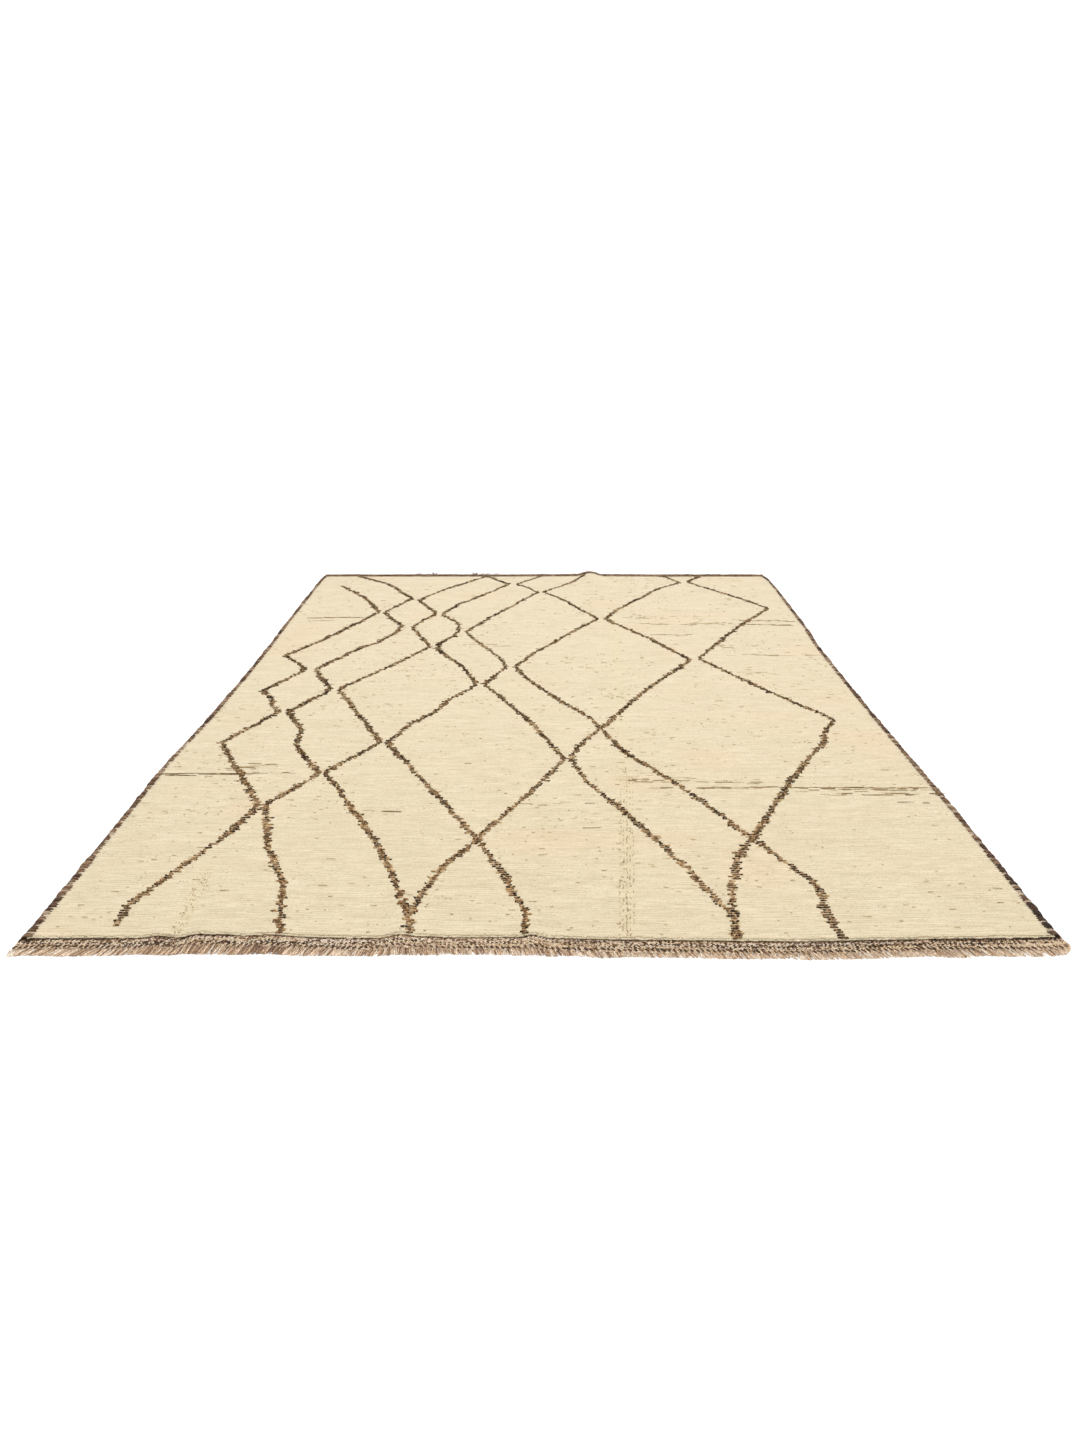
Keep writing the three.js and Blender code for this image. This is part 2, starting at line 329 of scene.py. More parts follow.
@dataclass(frozen=True)
class RugPlan:
    """Where everything on the rug lies: its uneven sides, its end lines and its rows of knots."""

    ends: tuple[RugEnd, RugEnd] = (NEAR, FAR)
    half_width: float = 1000
    cord_width: float = 15
    pile_top: float = 10
    pile_rows: int = 336

    # How far in from an end its line still bows the rows of knots
    bow_reach: float = 180

    # How far the rows waver, over what lengths, and from how far in the last ones go straighter
    calm_reach: float = 40
    slow_wander: float = 2.0
    slow_lengths: Triple = (150, 210, 430)
    slow_turn: float = 0.9
    quick_wander: float = 0.9
    quick_lengths: Pair = (58, 95)
    quick_turn: float = 2.1

    # Outer edges of the side cords by place along the rug: y, left, right
    side_line: tuple[Triple, ...] = (
        (-1500, 996, 1003), (-900, 998, 1001), (-640, 1001, 995), (-310, 986, 988),
        (90, 981, 985), (410, 983, 985), (600, 988, 996), (1180, 993, 1003),
        (1330, 993, 1000), (1400, 989, 992), (1440, 983, 984), (1500, 980, 982),
    )

    @property
    def field_edge(self) -> float:
        """Where the pile meets the side cords, as a place across."""
        return self.half_width - self.cord_width

    @property
    def row_pitch(self) -> float:
        """How far apart the rows of knots lie."""
        return (FAR.pile_edge - NEAR.pile_edge) / self.pile_rows

    @property
    def rows(self) -> Array:
        """Where each row of knots lies along the rug, before its waver."""
        return NEAR.pile_edge + self.row_pitch * (np.arange(self.pile_rows) + 0.5)

    def side_scale(self, across: Array, y: Array) -> Array:
        """Gives how much the rug is drawn in or let out.

        Args:
            across: Places across the rug, of which the sign alone counts.
            y: Places along the rug.

        Returns:
            Real width as a share of the nominal one.
        """
        places, left, right = zip(*self.side_line)
        sides = np.where(np.asarray(across) < 0, np.interp(y, places, left), np.interp(y, places, right))
        return sides / self.half_width

    def wander(self, across: Array, y: Array) -> Array:
        """Gives how far a row of knots strays along the rug.

        Args:
            across: Places across the rug.
            y: Nominal places along the rug.

        Returns:
            The stray distance at each place, none at the pile's ends.
        """
        sideways, along, drift = self.slow_lengths
        slow = np.sin(across / sideways + self.slow_turn * np.sin(y / along) + y / drift)
        sideways, along = self.quick_lengths
        quick = np.sin(across / sideways + self.quick_turn * np.sin(y / along))
        inward = np.minimum(y - NEAR.pile_edge, FAR.pile_edge - y)
        calm = 1 - hump(inward / self.calm_reach)
        return (self.slow_wander * slow + self.quick_wander * quick) * calm

    def lift(self, across: Array, y: Array) -> Array:
        """Gives the height of the cloth's underside over the floor at each place."""
        near = NEAR.ridge_lift(across, y - NEAR.pile_edge)
        return near + FAR.ridge_lift(across, FAR.pile_edge - y)

    def place(self, across: Array, y: Array, height: Array | float) -> Array:
        """Turns a place on the flat plan into a point.

        Args:
            across: Places across the rug.
            y: Nominal places along the rug.
            height: Heights over the cloth's underside.

        Returns:
            The points, with X, Y and Z on the last axis.
        """
        across, y, height = np.broadcast_arrays(across, y, height)
        moved = y + self.wander(across, y)
        for end in self.ends:
            inward = end.outward * (end.pile_edge - y)
            bow = read_table(end.line, across) * hump(np.maximum(inward, 0) / self.bow_reach)
            moved = moved + end.outward * bow
        x = across * self.side_scale(across, moved)
        z = self.lift(across, y) + height
        return np.stack([x + ORIGIN_SHIFT[0], moved + ORIGIN_SHIFT[1], z], axis=-1)

    def across_at(self, x: Array, y: Array) -> Array:
        """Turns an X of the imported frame, at a place along the rug, back into a place across it."""
        own = x - ORIGIN_SHIFT[0]
        return own / self.side_scale(own, y)

    def place_at(self, x: Array, y: Array, height: Array | float) -> Array:
        """Turns a place into a point as place does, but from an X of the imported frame."""
        return self.place(self.across_at(x, y), y, height)


PLAN = RugPlan()


@dataclass
class MeshDraft:
    """Points and faces gathered for one piece, with a colour a point and a map place a corner."""

    points: list[Array] = field(default_factory=list)
    colours: list[Array] = field(default_factory=list)
    faces: dict[int, list[Array]] = field(default_factory=lambda: {3: [], 4: []})
    maps: dict[int, list[Array]] = field(default_factory=lambda: {3: [], 4: []})
    count: int = 0

    def add(self, points: Array, colours: Array, faces: dict[int, Array], maps: dict[int, Array]) -> None:
        """Adds some points with their faces.

        Args:
            points: Points in millimetres, one a row.
            colours: Linear colours, one a point.
            faces: Corners as numbers into these points, by how many corners a face has.
            maps: Map places of those corners, in the same order.
        """
        self.points.append(points)
        self.colours.append(colours)
        for corners, rows in faces.items():
            self.faces[corners].append(rows + self.count)
            self.maps[corners].append(maps[corners])
        self.count += len(points)

    def build(self, name: str, material: Material) -> Piece:
        """Makes the piece.

        Args:
            name: The piece's name.
            material: What it is made of.

        Returns:
            The new object, smooth and in metres.
        """
        mesh = bpy.data.meshes.new(name)
        faces = [row for corners in (3, 4) for block in self.faces[corners] for row in block.tolist()]
        places = [block.reshape(-1, 2) for corners in (3, 4) for block in self.maps[corners]]
        points = np.concatenate(self.points) * MM
        mesh.from_pydata(points.tolist(), [], faces)
        mesh.shade_smooth()
        layer = mesh.color_attributes.new(name=YARN_LAYER, type="FLOAT_COLOR", domain="POINT")
        colours = np.concatenate(self.colours)
        layer.data.foreach_set("color", np.c_[colours, np.ones(len(colours))].astype(np.float32).ravel())
        uv = mesh.uv_layers.new(name=MAP_LAYER)
        uv.uv.foreach_set("vector", np.concatenate(places).astype(np.float32).ravel())
        mesh.materials.append(material)
        piece = bpy.data.objects.new(name, mesh)
        bpy.context.scene.collection.objects.link(piece)
        triangles = len(faces) + sum(len(block) for block in self.faces[4])
        log.info("%s: %d triangles", name, triangles)
        return piece


@dataclass
class Yarns:
    """Alike closed lengths of yarn, one a row: rings of points along each, and a point at both ends."""

    centres: Array
    axes_across: Array
    axes_up: Array
    tips: Array
    colours: Array
    sides: int = 4

    # Each yarn has its own cell of the map, with a margin in it as a share of the cell
    map_columns: int = 1
    map_margin: float = 0.08

    def add_to(self, draft: MeshDraft) -> None:
        """Adds the yarns to a draft.

        Args:
            draft: The mesh being gathered.
        """
        count, rings = self.centres.shape[:2]
        turn = (np.arange(self.sides) * 2 * np.pi / self.sides)[:, None]
        skin = self.centres[:, :, None] + self.axes_across[:, :, None] * np.cos(turn)
        skin = skin + self.axes_up[:, :, None] * np.sin(turn)
        points = np.concatenate([skin.reshape(count, -1, 3), self.tips], axis=1)
        colours = np.broadcast_to(self.colours, skin.shape)
        ends = np.stack([colours[:, 0].mean(1), colours[:, -1].mean(1)], axis=1)
        colours = np.concatenate([colours.reshape(count, -1, 3), ends], axis=1)
        faces, maps = self.pattern_of_one(rings)
        starts = np.arange(count)[:, None, None] * points.shape[1]
        cells = self.map_cells(count)
        draft.add(
            points.reshape(-1, 3),
            colours.reshape(-1, 3),
            {corners: (rows + starts).reshape(-1, corners) for corners, rows in faces.items()},
            {corners: self.in_cells(rows, cells) for corners, rows in maps.items()},
        )

    def pattern_of_one(self, rings: int) -> tuple[dict[int, Array], dict[int, Array]]:
        """Lays out one yarn's faces.

        Args:
            rings: How many rings of points it has.

        Returns:
            The faces and their map places within a unit square, by corners a face.
        """
        ring, side = np.meshgrid(np.arange(rings - 1), np.arange(self.sides), indexing="ij")
        ring, side = ring.ravel(), side.ravel()
        after = (side + 1) % self.sides
        quads = np.stack([
            ring * self.sides + side,
            ring * self.sides + after,
            (ring + 1) * self.sides + after,
            (ring + 1) * self.sides + side,
        ], axis=1)
        along = (ring + 1) / (rings + 1)
        onward = (ring + 2) / (rings + 1)
        low, high = side / self.sides, (side + 1) / self.sides
        quad_map = np.stack([
            np.stack([along, low], 1), np.stack([along, high], 1),
            np.stack([onward, high], 1), np.stack([onward, low], 1),
        ], axis=1)
        side = np.arange(self.sides)
        after = (side + 1) % self.sides
        start, finish = rings * self.sides, rings * self.sides + 1
        last = (rings - 1) * self.sides
        triangles = np.concatenate([
            np.stack([np.full_like(side, start), after, side], 1),
            np.stack([np.full_like(side, finish), last + side, last + after], 1),
        ])
        low, high = side / self.sides, (side + 1) / self.sides
        first = np.full(self.sides, 1 / (rings + 1))
        nil = np.zeros(self.sides)
        triangle_map = np.concatenate([
            np.stack([np.stack([nil, low], 1), np.stack([first, high], 1), np.stack([first, low], 1)], 1),
            np.stack([
                np.stack([nil + 1, low], 1), np.stack([1 - first, low], 1), np.stack([1 - first, high], 1),
            ], 1),
        ])
        return {4: quads, 3: triangles}, {4: quad_map, 3: triangle_map}

    def map_cells(self, count: int) -> Array:
        """Gives each yarn its own cell of the map.

        Args:
            count: How many yarns there are.

        Returns:
            Left, low, width and height of each cell.
        """
        columns = self.map_columns
        rows = math.ceil(count / columns)
        number = np.arange(count)
        width = np.full(count, 1 / columns)
        height = np.full(count, 1 / rows)
        return np.stack([(number % columns) / columns, (number // columns) / rows, width, height], 1)

    def in_cells(self, places: Array, cells: Array) -> Array:
        """Puts one yarn's map places into every cell.

        Args:
            places: Map places within a unit square, by face and corner.
            cells: Left, low, width and height of each cell.

        Returns:
            Map places by face and corner, for all yarns in order.
        """
        inner = self.map_margin + (1 - 2 * self.map_margin) * places
        moved = cells[:, None, None, :2] + inner[None] * cells[:, None, None, 2:]
        return moved.reshape(-1, places.shape[1], 2)


# How far a cut knot's tips hang below its middle, as a share of its thickness
TIP_SINK = 0.3


def tufts(
    places: Array, heading: Array, length: Array, width: Array, height: Array, colours: Array,
    bluntness: float = 0.3,
) -> Yarns:
    """Makes cut knots that lie on the pile, each a short fat spindle.

    Args:
        places: The knots' middles.
        heading: The way each lies, in radians from the X axis.
        length: How long each is.
        width: How wide each is.
        height: How thick each is.
        colours: A linear colour for each.
        bluntness: How far from the middle the full width reaches, as a share of the length.

    Returns:
        The knots as yarns.
    """
    count = len(places)
    length, width, height = (np.broadcast_to(size, count)[:, None] for size in (length, width, height))
    axis = np.stack([np.cos(heading), np.sin(heading), np.zeros(count)], 1)
    side = np.stack([-np.sin(heading), np.cos(heading), np.zeros(count)], 1)
    up = np.tile([0.0, 0.0, 1.0], (count, 1))
    rings = np.array([-bluntness, bluntness])[None, :, None]
    ends = np.array([-0.5, 0.5])[None, :, None]
    sunk = np.array([0, 0, -TIP_SINK]) * height
    return Yarns(
        centres=places[:, None] + rings * (axis * length)[:, None],
        axes_across=np.repeat((side * width / 2)[:, None], 2, axis=1),
        axes_up=np.repeat((up * height / 2)[:, None], 2, axis=1),
        tips=(places + sunk)[:, None] + ends * (axis * length)[:, None],
        colours=colours[:, None, None],
        map_columns=math.ceil(math.sqrt(count)),
    )


def closed_slab(top: Array, under: Array, row_step: int, column_step: int) -> Array:
    """Closes a fine grid over a coarse one, with walls round them, into one solid of triangles.

    Args:
        top: Numbers of the top's points, by row and column.
        under: Numbers of the underside's points, one for every few of the top's.
        row_step: How many of the top's rows go to one of the underside's.
        column_step: The same for the columns.

    Returns:
        Triangles as point numbers, facing outwards.
    """
    def halves(a: Array, b: Array, c: Array, d: Array) -> list[Array]:
        """Cuts each four-cornered face in two, corners in order."""
        return [np.stack([a, b, c], -1).reshape(-1, 3), np.stack([a, c, d], -1).reshape(-1, 3)]

    faces = halves(top[:-1, :-1], top[:-1, 1:], top[1:, 1:], top[1:, :-1])
    faces += halves(under[:-1, :-1], under[1:, :-1], under[1:, 1:], under[:-1, 1:])
    walls = [
        (top[0], under[0], column_step),
        (top[:, -1], under[:, -1], row_step),
        (top[-1, ::-1], under[-1, ::-1], column_step),
        (top[::-1, 0], under[::-1, 0], row_step),
    ]
    for fine, coarse, step in walls:
        for part in range(step):
            here = fine[part:-1:step]
            onward = fine[part + 1::step]
            faces.append(np.stack([coarse[:-1], onward, here], -1))
        faces.append(np.stack([coarse[:-1], coarse[1:], fine[step::step]], -1))
    return np.concatenate(faces)


def from_above(points: Array) -> Array:
    """Gives points' places on a map of what they cover as seen from above, from 0 to 1 both ways."""
    low, high = points[:, :2].min(0), points[:, :2].max(0)
    return (points[:, :2] - low) / (high - low)


def thin_slab(top: Array, under: Array, map_height: float) -> tuple[Array, Array, Array]:
    """Closes two grids of points, one right under the other, into one thin solid.

    Args:
        top: The top's points, by row and column.
        under: The underside's points, in the same order.
        map_height: How much of the map's height it takes.

    Returns:
        Its points, its triangles and their map places.
    """
    numbers = np.arange(top[..., 0].size).reshape(top.shape[:2])
    faces = closed_slab(numbers, numbers + numbers.size, 1, 1)
    points = np.concatenate([top.reshape(-1, 3), under.reshape(-1, 3)])
    return points, faces, from_above(points)[faces] * [1, map_height]


def add_node(
    tree: bpy.types.NodeTree, kind: str, settings: dict[str, object], links: dict[str | int, object],
) -> bpy.types.Node:
    """Adds a node with its settings and what goes into it.

    Args:
        tree: The material's node tree.
        kind: The node's type.
        settings: Values of the node's own properties.
        links: A value or another node's output for each input, by name or number.

    Returns:
        The new node.
    """
    node = tree.nodes.new(kind)
    for name, value in settings.items():
        setattr(node, name, value)
    for name, value in links.items():
        if isinstance(value, Socket):
            tree.links.new(value, node.inputs[name])
        else:
            node.inputs[name].default_value = value
    return node


# Numbers of the colour sockets of Blender's mix node
MIX_FACTOR, MIX_FIRST, MIX_SECOND, MIX_RESULT = 0, 6, 7, 2


@dataclass(frozen=True)
class Mottle:
    """Soft-edged patches: their size, how fine they are, the part of a noise they take, and how strong."""

    size: Triple
    detail: float
    low: float
    high: float
    strength: float


class MaterialDraft:
    """A material's nodes while they are being laid, with the few steps that all the wools share."""

    def __init__(self, name: str) -> None:
        """Starts an empty material.

        Args:
            name: The material's name.
        """
        self.material = bpy.data.materials.new(name)
        self.material.use_nodes = True
        self.tree = self.material.node_tree
        self.tree.nodes.clear()
        self.place = add_node(self.tree, "ShaderNodeTexCoord", {}, {}).outputs["Object"]

    def noise(self, size: Triple, detail: float) -> Socket:
        """Adds noise whose lumps have a real size.

        Args:
            size: The lumps' size along X, Y and Z, in millimetres.
            detail: How many finer layers it has.

        Returns:
            The noise, about 0.5 on average.
        """
        scale = tuple(1 / (step * MM) for step in size)
        moved = add_node(self.tree, "ShaderNodeMapping", {}, {"Vector": self.place, "Scale": scale})
        links = {"Vector": moved.outputs[0], "Scale": 1.0, "Detail": detail}
        return add_node(self.tree, "ShaderNodeTexNoise", {}, links).outputs["Fac"]

    def ranged(self, value: Socket, low: float, high: float, to: float) -> Socket:
        """Turns the part of a value from low to high into 0 to a top, and holds it there."""
        links = {"Value": value, "From Min": low, "From Max": high, "To Min": 0.0, "To Max": to}
        return add_node(self.tree, "ShaderNodeMapRange", {"clamp": True}, links).outputs[0]

    def mottled(self, mottle: Mottle) -> Socket:
        """Adds patches, from 0 between them to their strength."""
        return self.ranged(self.noise(mottle.size, mottle.detail), mottle.low, mottle.high, mottle.strength)

    def mixed(self, share: object, first: object, second: object, way: str = "MIX") -> Socket:
        """Mixes two colours.

        Args:
            share: The second colour's share, a number or an output.
            first: A hex colour or an output.
            second: A hex colour or an output.
            way: Blender's name for how they mix.

        Returns:
            The mixed colour.
        """
        colours = [(*linear(x), 1.0) if isinstance(x, str) else x for x in (first, second)]
        links = {MIX_FACTOR: share, MIX_FIRST: colours[0], MIX_SECOND: colours[1]}
        node = add_node(self.tree, "ShaderNodeMix", {"data_type": "RGBA", "blend_type": way}, links)
        return node.outputs[MIX_RESULT]

    def product(self, first: object, second: object) -> Socket:
        """Multiplies two values, each a number or an output."""
        links = {0: first, 1: second}
        return add_node(self.tree, "ShaderNodeMath", {"operation": "MULTIPLY"}, links).outputs[0]

    def finish(
        self, colour: Socket, relief: Socket, depth: float, gloss: float,
        sheen: float, sheen_roughness: float,
    ) -> Material:
        """Closes the material with its shader.

        Args:
            colour: The base colour.
            relief: What the bump is read from.
            depth: How deep the bump is, in millimetres.
            gloss: How much of the light the fibres throw back unchanged.
            sheen: How much the fibre ends catch light.
            sheen_roughness: How widely they spread it.

        Returns:
            The finished material.
        """
        bump = add_node(self.tree, "ShaderNodeBump", {}, {
            "Height": relief, "Distance": depth * MM, "Strength": 1.0,
        })
        shader = add_node(self.tree, "ShaderNodeBsdfPrincipled", {}, {
            "Base Color": colour,
            "Normal": bump.outputs[0],
            "Roughness": 0.95,
            "IOR": 1.54,
            "Specular IOR Level": gloss,
            "Sheen Weight": sheen,
            "Sheen Roughness": sheen_roughness,
        })
        add_node(self.tree, "ShaderNodeOutputMaterial", {}, {"Surface": shader.outputs[0]})
        return self.material


@dataclass(frozen=True)
class KnottedCreamPile:
    """Undyed sheep's wool, hand-spun and knotted, its cut ends flattened by use.

    It gives the eye a dry warm cream with fine wavy rows, and a few greyer hairs spun in.
    """

    name: str = "knotted_undyed_wool"
    light: str = "#dbcdb1"
    deep: str = "#cbbc9c"
    # Painted shade: the troughs between the rows of knots are tinted towards this dull olive-brown
    trough_shade_colour: str = "#a69672"
    clump_shade: str = "#a89875"
    peach: str = "#d8bb99"
    straw: str = "#d2c398"
    grey_hair: str = "#8f8468"
    streaks: Mottle = Mottle((80, 3.4, 50), 3.0, 0.34, 0.7, 1.0)
    weft_bands: Mottle = Mottle((150, 15, 50), 2.0, 0.48, 0.7, 0.45)
    patches: Mottle = Mottle((320, 110, 400), 2.0, 0.5, 0.72, 0.16)
    # How the painted shade in the troughs is broken up in patches
    painted_trough_shade: Mottle = Mottle((30, 6, 50), 2.0, 0.4, 0.62, 0.5)

    # Grey hairs lie in some parts of the rug alone
    hairs: Mottle = Mottle((11, 3.4, 50), 1.0, 0.63, 0.75, 0.6)
    hairy_parts: Mottle = Mottle((210, 90, 300), 2.0, 0.42, 0.62, 1.0)

    # Fibres are 0.03 mm across, too fine to show, so their clumps are drawn instead
    clumps: Mottle = Mottle((3.2, 2.4, 3), 2.0, 0.48, 0.7, 0.42)
    clump_depth: float = 1.1
    warm_strength: float = 0.34
    opened_strength: float = 0.3
    gloss: float = 0.15
    sheen: float = 0.26
    sheen_roughness: float = 0.45

    def build(self) -> Material:
        """Lays the material's nodes.

        Returns:
            The finished material.
        """
        draft = MaterialDraft(self.name)
        masks = add_node(draft.tree, "ShaderNodeAttribute", {"attribute_name": YARN_LAYER}, {})
        split = add_node(draft.tree, "ShaderNodeSeparateColor", {}, {"Color": masks.outputs["Color"]})
        # Red marks the troughs between rows for their painted shade, green the creases, blue the warmer wool
        trough, opened, warmth = split.outputs[0], split.outputs[1], split.outputs[2]
        streaks = draft.mottled(self.streaks)
        relief = draft.noise(self.clumps.size, self.clumps.detail)
        clumps = draft.ranged(relief, self.clumps.low, self.clumps.high, self.clumps.strength)
        colour = draft.mixed(streaks, self.light, self.deep)
        colour = draft.mixed(draft.mottled(self.weft_bands), colour, self.deep)
        colour = draft.mixed(clumps, colour, self.clump_shade)
        colour = draft.mixed(draft.product(draft.mottled(self.patches), streaks), colour, self.peach)
        colour = draft.mixed(draft.product(warmth, self.warm_strength), colour, self.peach)
        colour = draft.mixed(draft.product(opened, self.opened_strength), colour, self.straw)
        hairs = draft.product(draft.mottled(self.hairs), draft.mottled(self.hairy_parts))
        colour = draft.mixed(hairs, colour, self.grey_hair)
        # Painted shade: the troughs between the rows darken towards the trough shade colour, in broken
        # patches
        painted_trough_shade = draft.product(draft.ranged(trough, 0.35, 1.0, 1.0), draft.mottled(self.painted_trough_shade))
        colour = draft.mixed(painted_trough_shade, colour, self.trough_shade_colour)
        return draft.finish(colour, relief, self.clump_depth, self.gloss, self.sheen, self.sheen_roughness)


@dataclass(frozen=True)
class SpunWool:
    """Hand-spun yarn whose colour goes from length to length, as the record's other slots have it.

    Its fibres break the light up, so that it looks matt, with a little sheen where it turns away.
    """

    name: str
    fleck_size: Triple
    fleck_strength: float
    twist_size: Triple
    relief_depth: float
    sheen: float = 0.04
    gloss: float = 0.05
    sheen_roughness: float = 0.5
    fleck: str = "#d9c3a6"
    fleck_screen: float = 0.8
    # Grey-brown multiplied into the yarn as painted shade in the hollows of its twist
    hollow_shade: str = "#8c7b6c"

    def build(self) -> Material:
        """Lays the material's nodes.

        Returns:
            The finished material.
        """
        draft = MaterialDraft(self.name)
        layer = add_node(draft.tree, "ShaderNodeAttribute", {"attribute_name": YARN_LAYER}, {})
        yarn = layer.outputs["Color"]
        flecks = draft.mottled(Mottle(self.fleck_size, 3.0, 0.3, 0.72, 1.0))
        lifted = draft.mixed(self.fleck_screen, yarn, self.fleck, "SCREEN")
        paler = draft.mixed(draft.product(flecks, self.fleck_strength), yarn, lifted)
        # Painted shade: the yarn darkens towards its multiplied copy in the hollows of its twist
        sunk = draft.mixed(1.0, yarn, self.hollow_shade, "MULTIPLY")
        hollow_shade_mask = draft.mottled(Mottle(self.twist_size, 1.0, 0.62, 0.4, 0.5))
        colour = draft.mixed(hollow_shade_mask, paler, sunk)
        relief = draft.noise(self.twist_size, 2.0)
        return draft.finish(colour, relief, self.relief_depth, self.gloss, self.sheen, self.sheen_roughness)


# Natural brown fleece, knotted and cut: dark with paler hairs through it
BROWN_KNOTS = SpunWool("knotted_brown_wool", (5, 3, 4), 0.08, (3, 2.2, 3), 0.9, 0.05)

# Goat hair and wool wound over the outer warps: dark warm brown, hardly shiny
WOUND_HAIR = SpunWool("overcast_dark_wool", (4, 4, 4), 0.06, (5, 1.8, 3), 0.7, 0.06)

# Twined wefts beaten close: small stitches of every fleece that was at hand
BEATEN_WEFT = SpunWool("flat_woven_mixed_wool", (5, 3, 4), 0.14, (3, 2, 3), 0.6)

# Bare warp ends, twisted wool: soft beige going peach
WARP_ENDS = SpunWool("warp_wool", (7, 5, 4), 0.12, (2.5, 6, 3), 0.6)


def dress(piece: Piece, slot: Slot, *nodes: str) -> Piece:
    """Seats a piece on the rug's body, and hides the solids that it stands for.

    Args:
        piece: The new piece.
        slot: The record's slot for its finish; not used.
        *nodes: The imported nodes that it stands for.

    Returns:
        The same piece.
    """
    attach(piece, BODY)
    if nodes:
        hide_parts(*nodes)
    return piece


def picked(rng: Generator, palette: Palette, position: Array, spread: float) -> Array:
    """Picks colours along a row of neighbours, with some unevenness.

    Args:
        rng: The random numbers.
        palette: Hex colours, each going over into the next.
        position: Where along the palette each colour lies, from 0 to 1.
        spread: How far lightness strays, as a share.

    Returns:
        Linear colours.
    """
    table = np.array([linear(colour) for colour in palette])
    at = np.clip(position, 0, 1) * (len(palette) - 1)
    low = np.minimum(np.floor(at).astype(int), len(palette) - 2)
    share = (at - low)[..., None]
    colours = table[low] * (1 - share) + table[low + 1] * share
    return colours * (1 + rng.uniform(-spread, spread, at.shape))[..., None]


@dataclass(frozen=True)
class Crease:
    """A line along which the pile was folded, so that its knots stand open. Points are x and rising y."""

    points: tuple[Pair, ...]
    half_width: float
    depth: float

    def share(self, x: Array, y: Array) -> Array:
        """Gives how much a place is part of the crease.

        Args:
            x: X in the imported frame.
            y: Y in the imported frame.

        Returns:
            From 0 to 1.
        """
        xs, ys = np.array(self.points).T
        beyond = np.maximum(ys[0] - y, 0) + np.maximum(y - ys[-1], 0)
        sideways = (x - np.interp(y, ys, xs)) / self.half_width
        return hump(sideways) * hump(beyond / self.half_width)


LEFT_CREASE = Crease(((-696, -1430), (-702, -1330), (-713, -1180)), 20, 0.7)
MIDDLE_CREASE = Crease(
    ((168, -1430), (199, -1000), (218, -730), (232, -200), (256, 340), (270, 820)), 26, 1.1,
)
CREASES = (LEFT_CREASE, MIDDLE_CREASE)


